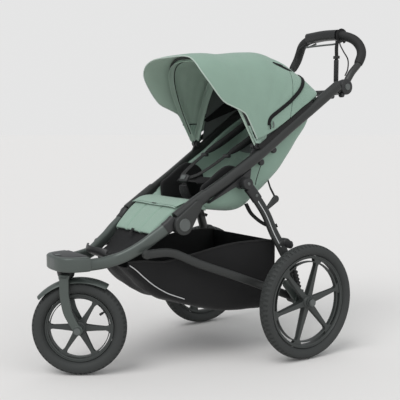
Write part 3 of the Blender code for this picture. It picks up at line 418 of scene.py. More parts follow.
def slab(bm, low, high, edge=0.0, segments=3):
    """A box between two corners, given as places, with rounded edges."""
    before = set(bm.edges)
    made = bmesh.ops.create_cube(bm, size=1)["verts"]
    bmesh.ops.scale(bm, vec=high - low, verts=made)
    bmesh.ops.translate(bm, vec=(low + high) / 2, verts=made)
    if edge:
        rounded(bm, [e for e in bm.edges if e not in before], edge, segments)


def spun(bm, profile, place, steps=64):
    """A turned solid about X: the closed (radius, x) profile goes once round, then to its place."""
    points = [bm.verts.new((x, radius, 0)) for radius, x in profile]
    edges = [bm.edges.new(pair) for pair in zip(points, points[1:] + points[:1])]
    before = set(bm.verts) - set(points)
    bmesh.ops.spin(bm, geom=points + edges, cent=(0, 0, 0), axis=(1, 0, 0), dvec=(0, 0, 0), angle=math.tau,
                   steps=steps, use_merge=True)
    made = [v for v in bm.verts if v not in before]
    bmesh.ops.remove_doubles(bm, verts=made, dist=0.00001)
    made = [v for v in bm.verts if v not in before]
    bmesh.ops.transform(bm, matrix=place, verts=made)
    return made


def drum(bm, centre, radius, x_from, x_to, edge=0.0015, steps=40):
    """A short cylinder across the stroller with rounded rims."""
    low, high = min(x_from, x_to), max(x_from, x_to)
    spun(bm, [(0, high), (radius - edge, high), (radius - 0.3 * edge, high - 0.3 * edge),
              (radius, high - edge),
              (radius, low + edge), (radius - 0.3 * edge, low + 0.3 * edge), (radius - edge, low), (0,
                  low)],
         Matrix.Translation(spot(0, centre[0], centre[1])), steps)


def link_outline(start, end, start_radius, end_radius, sides=14):
    """The (y, z) outline of a bar with round ends."""
    start, end = Vector(start), Vector(end)
    heading = math.atan2(end.y - start.y, end.x - start.x)
    outline = []
    for centre, radius, first in ((start, start_radius, heading + math.pi / 2),
                                  (end, end_radius, heading - math.pi / 2)):
        for step in range(sides + 1):
            angle = first + math.pi * step / sides
            outline.append((centre.x + radius * math.cos(angle), centre.y + radius * math.sin(angle)))
    return outline


def draped(name, shape, across, along, look, thickness, body=None, stands_for=(), smooth=1, offset=0.0,
           lining=None):
    """A sheet of cloth: a grid whose points are laid out by shape(u, w), made thick and smooth."""
    bm = bmesh.new()
    bm.loops.layers.uv.new("cloth")
    bmesh.ops.create_grid(bm, x_segments=across, y_segments=along, size=0.5, calc_uvs=True)
    for vert in bm.verts:
        vert.co = shape(vert.co.x + 0.5, vert.co.y + 0.5)
    piece = finished(name, bm, look, body, stands_for, sharp=80, keep_normals=True)
    if thickness:
        wall = piece.modifiers.new("thickness", "SOLIDIFY")
        wall.thickness = thickness
        wall.offset = offset
        if lining:
            piece.data.materials.append(LOOKS[lining][0])
            wall.material_offset = 1
    if smooth:
        soft = piece.modifiers.new("smooth", "SUBSURF")
        soft.levels = soft.render_levels = smooth
    return piece


def swept(name, look, body, *route_and_size, stands_for=(), sharp=38, **ring):
    """One swept piece, ready to show."""
    bm = bmesh.new()
    sweep(bm, *route_and_size, **ring)
    return finished(name, bm, look, body, stands_for, sharp)


def slabbed(name, look, body, *corners, stands_for=(), sharp=38):
    """One rounded block, ready to show."""
    bm = bmesh.new()
    slab(bm, *corners)
    return finished(name, bm, look, body, stands_for, sharp)


def mirrored(points, side):
    return [spot(x * side, y, z) for x, y, z in points]


def kept(node, look, edge=0.0012):
    """A CAD node that is shown as it is, with softened edges and its own finish."""
    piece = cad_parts[node]
    paint(piece, look)
    piece.data.shade_smooth()
    piece.data.set_sharp_from_angle(angle=math.radians(35))
    if edge:
        soft = piece.modifiers.new("edges", "BEVEL")
        soft.width = edge
        soft.segments = 2
        soft.limit_method = "ANGLE"
        soft.angle_limit = math.radians(40)


# %% [markdown]
# ## Main tubes
# The side tubes are extruded aluminium, taller than they are wide, with a flattened outside. A ring that
# is extruded along the tube's own route keeps the section square to it everywhere. The lower tubes leave
# the fold hinge and sweep in to the nose.

# %% Tubes
UPPER = [(0.1615, -0.352, 0.5535), (0.172, -0.253, 0.612), (0.183, -0.145, 0.681), (0.187, -0.065, 0.735),
         (0.190, 0.020, 0.795), (0.190, 0.107, 0.851), (0.190, 0.201, 0.913), (0.190, 0.252, 0.9465)]
LOWER = [(0.1465, -0.4705, 0.468), (0.137, -0.509, 0.441), (0.127, -0.537, 0.420), (0.116, -0.568, 0.401),
         (0.102, -0.597, 0.385), (0.089, -0.623, 0.375), (0.082, -0.660, 0.368), (0.0775, -0.688, 0.3655),
         (0.077, -0.7075, 0.365)]
TUBE = (0.028, 0.038)
FOLD = (-0.420, 0.482)
for name, side in SIDES:
    for route, look, body, node in ((UPPER, "frame", "upper_frame", "upper_tube_"),
                                    (LOWER, "lower frame", "front_frame", "lower_tube_")):
        swept(node + name + "_coat", look, body, smooth_route(mirrored(route, side)), TUBE, sides=28,
              square=2.7, stands_for=[node + name])

# %% Fold hinge
FOLD_X, KNUCKLE, CHEEK, CLEAR = 0.157, 0.031, 0.014, 0.0008
outer_x = FOLD_X + KNUCKLE / 2 + CLEAR
for name, side in SIDES:
    bm = bmesh.new()
    sleeve = mirrored([(0.1573, -0.4337, 0.5015), (0.1594, -0.392, 0.5282), (0.1625, -0.345, 0.558),
                       (0.1660, -0.322, 0.5715)], side)
    sweep(bm, smooth_route(sleeve, 4), (TUBE[0] + 0.005, TUBE[1] + 0.004), sides=28, square=2.9)
    cheek = link_outline(FOLD, (-0.364, 0.5435), 0.034, 0.016, sides=20)
    plate(bm, cheek, side * outer_x, side * (outer_x + CHEEK), 0.0028)
    finished(f"fold_casing_{name}", bm, "frame", "upper_frame", [f"fold_housing_{name}"])
    bm = bmesh.new()
    drum(bm, FOLD, 0.0300, side * (FOLD_X - KNUCKLE / 2), side * (FOLD_X + KNUCKLE / 2), 0.002)
    throat = mirrored([(0.1463, -0.470, 0.4683), (0.1510, -0.4555, 0.4795), (0.1560, -0.4380, 0.4975)],
                      side)
    sweep(bm, smooth_route(throat, 5), (TUBE[0] + 0.003, TUBE[1] + 0.004), sides=28, square=2.9)
    finished(f"fold_knuckle_{name}_coat", bm, "black plastic", "front_frame", [f"fold_knuckle_{name}"])
    bm = bmesh.new()
    face = outer_x + CHEEK + 0.0003
    spun(bm, [(0, face + 0.0034), (0.0165, face + 0.0034), (0.0172, face + 0.0040), (0.0190, face + 0.0040),
              (0.0206, face + 0.0026), (0.0210, face), (0, face)],
         Matrix.Translation(spot(0, *FOLD)) @ Matrix.Rotation(0 if side > 0 else math.pi, 4, "Z"), 56)
    finished(f"hinge_badge_{name}", bm, "grey plastic", "upper_frame", [f"hinge_disc_{name}"])

# %% [markdown]
# ## Wheels
# The wheels are one moulding each: an outer rim, a thin inner ring joined to it by the spokes' flared
# feet, and a stepped hub. The rings are spun from a profile. A spoke is half an outline, mirrored, made
# thick and pocketed on its sides, then copied round. The tyre is spun too, and its tread blocks are faces
# of the crown, raised one by one.

# %% Wheel parts


def tyre(name, radius, width, rim, place, body, node, blocks=72):
    """An air tyre: round section, blocks round the crown and a bead at the rim."""
    crown, seat = radius - 0.0017, rim + 0.0003
    tall = (crown - seat) / 2
    centre = (crown + seat) / 2
    half = width / 2
    right = []
    for degrees in (90, 76, 62, 46, 30, 12, -8, -28, -50, -68):
        angle = math.radians(degrees)
        right.append((centre + tall * math.copysign(abs(math.sin(angle)) ** 0.92, math.sin(angle)),
                      half * math.cos(angle) ** 0.85))
    right.append((seat, half * 0.30))
    profile = right + [(r, -x) for r, x in reversed(right[1:])]
    bm = bmesh.new()
    spun(bm, profile, Matrix.Identity(4), blocks * 2)
    bm.normal_update()
    raised = []
    for face in bm.faces:
        middle_point = face.calc_center_median()
        reach = math.hypot(middle_point.y, middle_point.z)
        turn = math.atan2(middle_point.z, middle_point.y) / math.tau * blocks * 2
        across = abs(middle_point.x) / half
        band = 0 if across < 0.26 else 1
        if reach > centre + tall * 0.62 and (int(turn + 4 * blocks) // 1 + band) % 2:
            raised.append(face)
    bmesh.ops.inset_individual(bm, faces=raised, thickness=0.0008, depth=0.0015, use_even_offset=True)
    bmesh.ops.transform(bm, matrix=place, verts=bm.verts)
    finished(name, bm, "tyre", body, [node], sharp=30)


def spoke_outline(inner, ring, rim):
    """Half-widths of a spoke from the hub to its flared foot on the rim."""
    return ((inner, 0.0125), (inner + 0.012, 0.0100), (0.6 * ring, 0.0076), (ring - 0.010, 0.0062),
            (ring - 0.002, 0.0085), (ring + 0.004, 0.0150), (rim + 0.001, 0.0205))


def wheel(name, rim, place, first_spoke, body, node):
    """Rim, inner ring, hub and six pocketed spokes."""
    bm = bmesh.new()
    inside = rim - 0.0100
    spun(bm, [(rim, 0.0125), (rim - 0.0008, 0.0132), (rim - 0.0040, 0.0132), (rim - 0.0052, 0.0112),
              (inside, 0.0100), (inside - 0.0004, 0), (inside, -0.0100), (rim - 0.0052, -0.0112),
              (rim - 0.0040, -0.0132), (rim - 0.0008, -0.0132), (rim, -0.0125), (rim - 0.002,
                  0)], Matrix.Identity(4), 96)
    ring_out, ring_in = rim * 0.878, rim * 0.854
    spun(bm, [(ring_out, 0.0075), (ring_out, -0.0075), (ring_in, -0.0065), (ring_in, 0.0065)],
         Matrix.Identity(4), 96)
    spun(bm, [(0.0063, 0.0250), (0.0150, 0.0250), (0.0165, 0.0238), (0.0168, 0.0165), (0.0205, 0.0140),
              (0.0225, 0.0110),
              (0.0230, 0.0040), (0.0230, -0.0150), (0.0205, -0.0185), (0.0063,
                  -0.0190)], Matrix.Identity(4), 56)
    halves = spoke_outline(0.016, ring_in, inside)
    for spoke in range(6):
        arm = bmesh.new()
        outline = [(away, half) for away, half in halves] + [(away, -half) for away,
                                                             half in reversed(halves)]
        face = arm.faces.new([arm.verts.new((-0.0095, side, away)) for away, side in outline])
        grown = bmesh.ops.extrude_face_region(arm, geom=[face])["geom"]
        bmesh.ops.translate(arm, vec=(0.0190, 0, 0), verts=only_verts(grown))
        for vert in arm.verts:
            vert.co.x *= 1.15 - 0.35 * min(1, (vert.co.z - 0.016) / (ring_out - 0.016))
        bmesh.ops.recalc_face_normals(arm, faces=arm.faces)
        flanks = [f for f in arm.faces if abs(f.normal.x) < 0.5 and abs(f.normal.y) > 0.5
                  and 0.020 < f.calc_center_median().z < ring_in - 0.004]
        bmesh.ops.inset_region(arm, faces=flanks, thickness=0.0028, depth=-0.0030, use_even_offset=True)
        rims = [e for e in arm.edges if e.is_manifold and e.calc_face_angle(0) > 1.2
                and abs(e.verts[0].co.x - e.verts[1].co.x) < 0.004]
        bmesh.ops.bevel(arm, geom=rims, offset=0.0009, offset_type="OFFSET", segments=2, profile=0.5,
                        affect="EDGES",
                        clamp_overlap=True, material=-1)
        angle = first_spoke + math.tau * spoke / 6
        bmesh.ops.rotate(arm, cent=(0, 0, 0), matrix=Matrix.Rotation(angle - math.pi / 2, 3, "X"),
                         verts=arm.verts)
        spoke_mesh = bpy.data.meshes.new("spoke")
        arm.to_mesh(spoke_mesh)
        arm.free()
        bm.from_mesh(spoke_mesh)
        bpy.data.meshes.remove(spoke_mesh)
    bmesh.ops.transform(bm, matrix=place, verts=bm.verts)
    finished(name, bm, "wheel", body, [node], sharp=34)


# %% Rear wheels
REAR_R, REAR_W, REAR_RIM, TRACK = 0.200, 0.047, 0.160, 0.310
REAR_SPOKE = math.radians(12)
for name, side in SIDES:
    place = Matrix.Translation(spot(side * TRACK, 0, REAR_R)) @ Matrix.Rotation(0 if side > 0 else math.pi,
        4, "Z")
    body = f"{name}_rear_wheel"
    tyre(f"rear_tyre_{name}_tread", REAR_R, REAR_W, REAR_RIM, place, body, f"rear_tyre_{name}")
    wheel(f"rear_wheel_{name}", REAR_RIM, place, REAR_SPOKE if side > 0 else math.pi - REAR_SPOKE, body,
          f"rear_rim_{name}")
    kept(f"wheel_release_{name}", "grey plastic")

# %% Front wheel
FRONT_R, FRONT_W, FRONT_RIM, TRAIL = 0.155, 0.050, 0.111, 0.041
SWIVEL = math.radians(-34.8)
STEM = spot(0, -0.752, 0)
turned_stem = Matrix.Translation(STEM) @ Matrix.Rotation(SWIVEL, 4, "Z")
front_place = turned_stem @ Matrix.Translation((0, TRAIL, FRONT_R))
tyre("front_tyre_tread", FRONT_R, FRONT_W, FRONT_RIM, front_place, "front_wheel", "front_tyre", 60)
wheel("front_wheel_rim", FRONT_RIM, front_place, math.radians(-2), "front_wheel", "front_rim")
bm = bmesh.new()
valve = math.radians(32)
away = Vector((0, math.cos(valve), math.sin(valve)))
sweep(bm, [away * r for r in (0.103, 0.097, 0.088, 0.0875, 0.077)],
      lambda t: (0.0065, 0.0065) if t < 0.6 else (0.0085, 0.0085), up=(1, 0, 0), sides=16)
bmesh.ops.transform(bm, matrix=front_place, verts=bm.verts)
finished("front_valve", bm, "rubber", "front_wheel")
kept("front_axle", "grey plastic", 0.0)

# %% [markdown]
# ## Fork, mudguard and nose
# The fork's blades are flat forgings that drop straight and then sweep back to the axle. Each is a ribbon
# outline made thick. The mudguard is a strip of grid bent round the wheel. The nose casting is an outline
# of the stroller's plan with a lighter cap at its front.

# %% Fork


def ribbon(line, half_widths, spans=6):
    """The outline of a band along a smooth (y, z) line, with a half-width at each of its points."""
    fine = smooth_route([(0, y, z) for y, z in line], spans)
    one, other = [], []
    for index, place in enumerate(fine):
        share = index / (len(fine) - 1) * (len(half_widths) - 1)
        low = min(int(share), len(half_widths) - 2)
        half = half_widths[low] + (half_widths[low + 1] - half_widths[low]) * (share - low)
        run = fine[min(index + 1, len(fine) - 1)] - fine[max(index - 1, 0)]
        across = Vector((0, -run.z, run.y)).normalized() * half
        one.append((place.y + across.y, place.z + across.z))
        other.append((place.y - across.y, place.z - across.z))
    return one + other[::-1]


FORK_TOP, CROWN_LOW, BLADE_X = 0.3457, 0.3185, 0.0405
bm = bmesh.new()
blade = ribbon([(0, FORK_TOP - 0.013), (0.0, 0.300), (0.001, 0.262), (0.010, 0.214), (0.026, 0.180),
                (TRAIL, FRONT_R)],
               (0.015, 0.015, 0.0148, 0.0142, 0.013, 0.0125))
for side in (1, -1):
    plate(bm, blade, side * (BLADE_X - 0.005), side * (BLADE_X + 0.005), 0.0032, 4)
    spun(bm, [(0.0062, 0.0062), (0.0140, 0.0062), (0.0160, 0.0040), (0.0160, -0.0055), (0.0062, -0.0055)],
         Matrix.Translation(spot(side * BLADE_X, TRAIL, FRONT_R)), 40)
slab(bm, spot(-BLADE_X - 0.005, -0.017, CROWN_LOW), spot(BLADE_X + 0.005, 0.017, FORK_TOP - 0.012), 0.004,
     4)
bmesh.ops.translate(bm, vec=(0, -AXLE_Y, 0), verts=bm.verts)
bmesh.ops.transform(bm, matrix=turned_stem, verts=bm.verts)
finished("fork_blades", bm, "lower frame", "fork_assembly", ["fork"])
bm = bmesh.new()
spun(bm, [(0, 0.0272), (0.0290, 0.0272), (0.0302, 0.0258), (0.0262, 0.0080), (0.0240, 0.0040), (0, 0.0040)],
     Matrix.Translation(STEM + Vector((0, 0, CROWN_LOW - 0.002))) @ Matrix.Rotation(-math.pi / 2, 4,
         "Y"), 48)
finished("fork_collar", bm, "black plastic", "fork_assembly")


def guard_shape(u, w):
    angle = math.radians(143 - 88 * w)
    across = 2 * u - 1
    end = abs(2 * w - 1)
    reach = FRONT_R + 0.0068 + 0.0060 * end ** 2 - 0.0120 * abs(across) ** 3
    half = (FRONT_W / 2 + 0.0065) * (1 - 0.10 * end ** 8)
    place = Vector((across * half, TRAIL + reach * math.cos(angle), FRONT_R + reach * math.sin(angle)))
    return turned_stem @ place


draped("mudguard", guard_shape, 10, 30, "lower frame", 0.0028, "fork_assembly", ["front_mudguard"])

# %% Nose
NOSE_LOW, NOSE_HIGH, NOSE_REAR = 0.3455, 0.392, -0.7090


def nose_plan(grow=0.0):
    """Half of the nose seen from above: (x, y) from the rear corner round to the middle of the front."""
    return [(0.0925 + grow, NOSE_REAR), (0.0915 + grow, -0.735), (0.0855 + grow, -0.760),
            (0.0745 + grow, -0.780),
            (0.0580 + grow, -0.7925), (0.0350, -0.7985 - grow), (0.0, -0.800 - grow)]


def plan_solid(bm, half, low, high, edge, lift=0.0):
    """A solid from half a plan: mirrored, extruded up and rounded; lift is not used."""
    ring = half + [(-x, y) for x, y in reversed(half[:-1])]
    before = set(bm.verts)
    face = bm.faces.new([bm.verts.new(spot(x, y, low)) for x, y in ring])
    grown = bmesh.ops.extrude_face_region(bm, geom=[face])["geom"]
    top = [g for g in grown if isinstance(g, bmesh.types.BMVert)]
    bmesh.ops.translate(bm, vec=(0, 0, high - low), verts=top)
    made = [v for v in bm.verts if v not in before]
    rims = [e for v in made for e in v.link_edges if abs(e.verts[0].co.z - e.verts[1].co.z) < 1e-6]
    rounded(bm, list(set(rims)), edge, 4)


bm = bmesh.new()
plan_solid(bm, nose_plan(), NOSE_LOW, NOSE_HIGH, 0.007)
finished("nose_casting", bm, "lower frame", "front_frame", ["nose_block"], sharp=50)
bm = bmesh.new()
cap = [(0.066, -0.776), (0.050, -0.7905), (0.033, -0.7978), (0.0, -0.8008)]
plan_solid(bm, cap, NOSE_LOW + 0.007, NOSE_HIGH - 0.004, 0.004)
finished("nose_cap", bm, "grey plastic", "front_frame")
bm = bmesh.new()
cover = [(0.070, NOSE_REAR + 0.001), (0.069, -0.735), (0.060, -0.765), (0.040, -0.783), (0.0, -0.790)]
plan_solid(bm, cover, NOSE_HIGH - 0.004, NOSE_HIGH + 0.0012, 0.002)
finished("nose_cover", bm, "black plastic", "front_frame")
kept("swivel_lock_catch", "grey plastic")

# %% [markdown]
# ## Rear legs and axle arms
# Each leg hangs from a bracket on the main tube and carries the wheel on a short arm with a rubber spring.
# The leg is a swept tube with a turned head and a black sleeve over its top; the pale strip along its lower
# front edge is a painted highlight.

# %% Rear legs
LEG = [(0.203, -0.167, 0.590), (0.2035, -0.132, 0.548), (0.207, -0.097, 0.497), (0.2165, -0.070, 0.433),
       (0.2290, -0.048, 0.385), (0.2480, -0.019, 0.310), (0.257, 0.0, 0.222)]
LEG_TUBE = (0.034, 0.022)
LEG_HEAD, LEG_FOOT = (-0.180, 0.607), (0.0, 0.205)


def side_sweep(bm, points, side, size, per_span=6, square=2.6, sides=24):
    """A tube in one side of the stroller; size is (tall, wide) with its width across the stroller."""
    sweep(bm, smooth_route(mirrored(points, side), per_span), size, up=(1, 0, 0), sides=sides,
          square=square)


for name, side in SIDES:
    bm = bmesh.new()
    side_sweep(bm, LEG, side, LEG_TUBE)
    drum(bm, LEG_HEAD, 0.0175, side * 0.192, side * 0.214, 0.003)
    drum(bm, LEG_FOOT, 0.023, side * 0.248, side * 0.270, 0.003)
    plate(bm, link_outline((-0.046, 0.392), (-0.010, 0.392), 0.017, 0.010), side * 0.216, side * 0.240,
          0.003)
    rod = mirrored([(0.255, -0.040, 0.318), (0.293, -0.040, 0.318)], side)
    sweep(bm, rod, (0.018, 0.018), sides=24)
    finished(f"leg_{name}", bm, "frame", "rear_legs", [f"rear_leg_{name}"])
    bm = bmesh.new()
    side_sweep(bm, [(0.203, -0.171, 0.594), (0.2032, -0.152, 0.573), (0.2040, -0.134, 0.551)], side,
               (0.038, 0.0255))
    drum(bm, LEG_HEAD, 0.0205, side * 0.1895, side * 0.2165, 0.005)
    finished(f"leg_sleeve_{name}", bm, "black plastic", "rear_legs")
    bm = bmesh.new()
    for y, z in (LEG_HEAD, (-0.146, 0.566)):
        drum(bm, (y, z), 0.0055, side * 0.2150, side * 0.2185, 0.0012, 24)
    finished(f"leg_screws_{name}", bm, "grey plastic", "rear_legs")
    bm = bmesh.new()
    # The pale strip along the leg's lower front edge is a painted highlight: the glint of light on that
    # edge, given a colour of its own.
    strip = [(x + 0.0113, y - 0.008, z) for x, y, z in LEG[1:5]]
    side_sweep(bm, strip, side, (0.0035, 0.0016), square=2.0, sides=10)
    finished(f"leg_painted_highlight_{name}", bm, "reflective tape and painted highlight", "rear_legs")
    bm = bmesh.new()
    plate(bm, link_outline((-0.030, 0.398), (-0.012, 0.387), 0.015, 0.012), side * 0.2135, side * 0.2425,
          0.004)
    finished(f"leg_joint_{name}", bm, "black plastic", "rear_legs")
    kept(f"leg_bracket_{name}", "black plastic", 0.0025)
    kept(f"canopy_clamp_{name}", "black plastic", 0.0015)
    kept(f"rear_arm_{name}", "lower frame", 0.0025)
bm = bmesh.new()
sweep(bm, [spot(-0.2567, 0, 0.205), spot(0.2567, 0, 0.205)], (0.022, 0.022), sides=28)
for x in (0.246, -0.246):
    drum(bm, (0, 0.205), 0.0155, x - 0.010, x + 0.010, 0.003)
finished("axle_tube", bm, "frame", "rear_legs", ["rear_cross_tube"])

# %% Rubber springs
for name, side in SIDES:
    top, bottom = spot(side * 0.2888, -0.0365, 0.3085), spot(side * 0.2888, -0.0165, 0.2445)
    bm = bmesh.new()
    RIBS, RIB_R, CORE_R, SPRING_STEPS = 5, 0.0102, 0.0065, 40
    outline = []
    for step in range(SPRING_STEPS + 1):
        share = step / SPRING_STEPS
        outline.append((top.lerp(bottom, share), CORE_R + (RIB_R - CORE_R)
                        * (0.5 - 0.5 * math.cos(math.tau * RIBS * share)) ** 0.7))
    sweep(bm, [place for place, _ in outline],
          lambda t: (2 * outline[round(t * SPRING_STEPS)][1],) * 2, up=(1, 0, 0), sides=28)
    spring = finished(f"spring_{name}", bm, "rubber", "rear_legs", [f"elastomer_{name}"], sharp=60)
    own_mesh(spring)

# %% [markdown]
# ## Stays and basket
# Two stays run forward from the axle tube and carry the basket, a sling of coated cloth. The cloth is one
# grid laid over a table of stations, each with its own rim, floor and half width, so that it hangs deepest
# in front of the axle. A hem tube finishes its rim.

# %% Stays
STAY = [(0.1645, -0.550, 0.395), (0.170, -0.459, 0.392), (0.186, -0.369, 0.352), (0.206, -0.246, 0.304),
        (0.226, -0.120, 0.253), (0.2345, -0.020, 0.212)]
for name, side in SIDES:
    bm = bmesh.new()
    side_sweep(bm, STAY, side, (0.028, 0.018))
    drum(bm, (-0.550, 0.395), 0.0145, side * 0.1560, side * 0.1730, 0.003)
    drum(bm, LEG_FOOT, 0.021, side * 0.2255, side * 0.2435, 0.003)
    finished(f"stay_{name}_coat", bm, "frame", "stays", [f"stay_{name}"])

# %% Basket
SLING = ((-0.585, 0.366, 0.345, 0.105), (-0.530, 0.366, 0.285, 0.125), (-0.470, 0.360, 0.238, 0.140),
         (-0.390, 0.372, 0.205, 0.150), (-0.230, 0.400, 0.160, 0.168), (-0.100, 0.404, 0.152, 0.180),
         (-0.036, 0.400, 0.150, 0.184))
SLING_SECTION = ((1, 1), (0.995, 0.62), (0.965, 0.26), (0.86, 0.05), (0.5, 0.0), (0, 0.0))


def between(rows, share):
    """The row at a share of the way through smooth rows of points."""
    spans = len(rows) - 1
    at = min(int(share * spans), spans - 1)
    picks = [rows[min(max(at + step, 0), spans)] for step in (-1, 0, 1, 2)]
    t = share * spans - at
    return [0.5 * (2 * b + (c - a) * t + (2 * a - 5 * b + 4 * c - d) * t * t
                   + (3 * b - a - 3 * c + d) * t ** 3)
            for a, b, c, d in zip(*picks)]


def resampled(points, count):
    """Points spread evenly over a line of points."""
    runs = [0.0]
    for a, b in zip(points, points[1:]):
        runs.append(runs[-1] + (b - a).length)
    made, at = [], 0
    for step in range(count):
        goal = runs[-1] * step / (count - 1)
        while at < len(points) - 2 and runs[at + 1] < goal:
            at += 1
        made.append(points[at].lerp(points[at + 1], (goal - runs[at]) / (runs[at + 1] - runs[at])))
    return made


def over_rows(rows, count, stations):
    """shape(u, w) for a grid over rows of points: u along a row, w from row to row."""
    even = [resampled(row, count) for row in rows]
    table = [between(even, step / stations) for step in range(stations + 1)]
    return lambda u, w: table[round(w * stations)][round(u * (count - 1))].copy()


def rippled(shape, height, size, seed, falloff=lambda u, w: 1.0):
    """The same shape with soft ripples, as in cloth that isn't quite tight."""
    def made(u, w):
        place = shape(u, w)
        shift = noise.noise_vector(place / size + Vector((seed, seed * 0.7, 0)))
        return place + shift * height * falloff(u, w)
    return made


basket_rows = []
for y, top, low, half in SLING:
    right = [spot(across * half, y, low + (top - low) * up) for across, up in SLING_SECTION]
    fine = smooth_route(right, 4)
    basket_rows.append(fine + [Vector((-p.x, p.y, p.z)) for p in reversed(fine[:-1])])
basket_shape = over_rows(basket_rows, 49, 30)
sling = draped("basket_sling", rippled(basket_shape, 0.007, 0.060, 3.0,
                                       lambda u, w: math.sin(math.pi * u) * (1 - w ** 4)), 48,
               30, "black cloth", 0.0018, "stays", ["basket"])
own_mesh(sling)
BASKET_TRIM = []
for name, side in SIDES:
    edge = [basket_shape(0.0 if side > 0 else 1.0, step / 30) for step in range(31)]
    hem = swept(f"basket_hem_{name}", "webbing", "stays", edge, (0.0065, 0.0065), up=(1, 0, 0), sides=14)
    BASKET_TRIM.append(hem)
    line = [Vector((p.x + side * 0.002, p.y, p.z)) for p in smooth_route(mirrored(
        [(0.118, -0.585, 0.352), (0.1262, -0.540, 0.312), (0.1395, -0.480, 0.264),
         (0.1525, -0.395, 0.222)], side))]
    snapped = []
    for place in line:
        hit, near, normal, _ = sling.closest_point_on_mesh(place)
        outward = normal if normal.x * side > 0 else -normal
        snapped.append((near + outward * 0.0022, outward))
    bm = bmesh.new()
    sweep(bm, [p for p, _ in snapped], (0.0032, 0.0022), up=[n for _, n in snapped], sides=10)
    BASKET_TRIM.append(finished(f"basket_piping_{name}", bm, "reflective tape and painted highlight", "stays"))
bm = bmesh.new()
outline = [basket_shape(step / 48, 1.0) for step in range(49)]
face = bm.faces.new([bm.verts.new(place + Vector((0, -0.0040, 0))) for place in outline])
grown = bmesh.ops.extrude_face_region(bm, geom=[face])["geom"]
bmesh.ops.translate(bm, vec=(0, 0.0018, 0), verts=only_verts(grown))
BASKET_TRIM.append(finished("basket_back_panel", bm, "mesh", "stays"))
for trim in BASKET_TRIM:
    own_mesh(trim)

# %% [markdown]
# ## Handlebar
# The bar is one bent tube in a foam grip, clamped in round heads so that it tilts. It carries the brake's
# console with its lever, two cable runs and a wrist strap.

# %% Handlebar
HANDLE = [(0.185, 0.298, 0.957), (0.185, 0.325, 0.995), (0.183, 0.362, 1.030), (0.179, 0.382, 1.065),
          (0.168, 0.386, 1.095), (0.145, 0.379, 1.122), (0.105, 0.371, 1.139), (0.050, 0.366, 1.147),
          (0.0, 0.365, 1.150)]
TILT = (0.292, 0.943)


def handle_line(points, per_span=6):
    whole = list(points) + [(-x, y, z) for x, y, z in reversed(points[:-1])]
    return smooth_route([spot(*p) for p in whole], per_span)


swept("handle_tube", "frame", "handle", handle_line(HANDLE), (0.026, 0.026), up=(0.2, -1, 0.3), sides=24,
      stands_for=["handlebar"])
bm = bmesh.new()
for x in (0.185, -0.185):
    drum(bm, TILT, 0.0285, x - 0.0135, x + 0.0135, 0.005)
    drum(bm, (0.276, 0.913), 0.0085, x - 0.009, x + 0.009, 0.003, 24)
finished("handle_heads", bm, "black plastic", "handle")
swept("handle_foam", "foam", "handle", handle_line(HANDLE[2:]),
      lambda t: (0.035 - 0.004 * abs(2 * t - 1) ** 24,) * 2, up=(0.2, -1,
                                                                 0.3), sides=28, stands_for=["handle_grip"])
kept("tilt_button_left", "grey plastic")
kept("tilt_button_right", "grey plastic")

# %% Cross bar
bm = bmesh.new()
BAR = [(0.1617, 0.296, 0.940), (0.1500, 0.310, 0.934), (0.1250, 0.326, 0.930), (0.0900, 0.338, 0.928),
       (0.0, 0.344, 0.927)]
sweep(bm, handle_line(BAR), (0.022, 0.022), up=(0.2, 0.3, 1), sides=24)
for side in (1, -1):
    plate(bm, link_outline(TILT, (0.248, 0.9345), 0.026, 0.015), side * 0.1612, side * 0.1712, 0.003)
    drum(bm, TILT, 0.007, side * 0.1612, side * 0.1790, 0.001, 28)
finished("bar_and_cheeks", bm, "frame", "upper_frame", ["cross_bar"])

# %% Brake
swept("console", "black plastic", "handle",
      smooth_route([spot(0.074, 0.368, 1.147), spot(0, 0.366, 1.150), spot(-0.090, 0.368, 1.147)],
                   10), (0.050, 0.040), up=(0, 0,
                                            1), sides=32, square=3.2, stands_for=["brake_console"], sharp=50)
bm = bmesh.new()
LEVER = [(0.076, 0.389, 1.126), (0.072, 0.350, 1.112), (0.055, 0.322, 1.108), (0, 0.314, 1.107)]
sweep(bm, handle_line(LEVER), (0.009, 0.007), up=(0, 0, 1), sides=16)
finished("brake_pull", bm, "grey plastic", "lever", ["brake_lever"])
CABLE = [(0.100, 0.352, 1.124), (0.112, 0.336, 1.108), (0.133, 0.333, 1.080), (0.146, 0.345, 1.048),
         (0.153, 0.338, 1.012), (0.159, 0.3185, 0.987)]
CABLE_D = 0.005
for name, side in SIDES:
    route = smooth_route(mirrored(CABLE, side), 8)
    cable = swept(f"cable_{name}", "rubber", "handle", route, (CABLE_D, CABLE_D), up=(1, 0.4, 0), sides=14,
                  stands_for=[f"brake_cable_{name}"])
    length = sum((b - a).length for a, b in zip(route, route[1:]))
    tuple(route[0])
    [tuple(p) for p in route]
    print(cable.name, "is", round(length, 3), "m long")

# %% Wrist strap
bm = bmesh.new()
STRAP_X = 0.086
loop = []
for step in range(17):
    angle = math.radians(-70 + 320 * step / 16)
    loop.append((STRAP_X, 0.3705 + 0.0215 * math.cos(angle), 1.1415 + 0.0205 * math.sin(angle)))
strap_line = smooth_route([spot(STRAP_X, y, z) for y, z in [(0.344, 0.985), (0.343, 1.020), (0.345, 1.060),
                                                            (0.344, 1.095), (0.3475, 1.124)]], 8)
sweep(bm, strap_line, (0.018, 0.0030), up=(0, 1, 0.1), sides=12, square=5)
strap = finished("hand_strap", bm, "webbing", "handle", ["wrist_strap"])
strap_length = sum((b - a).length for a, b in zip(strap_line, strap_line[1:]))
print(strap.name, "is", round(strap_length, 3), "m long")
swept("strap_loop", "webbing", "handle", [spot(*p) for p in loop], (0.018, 0.0030), up=(1, 0, 0), sides=12,
      square=5)
bm = bmesh.new()
slab(bm, spot(STRAP_X - 0.0125, 0.3385, 1.055), spot(STRAP_X + 0.0125, 0.3510, 1.066), 0.002)
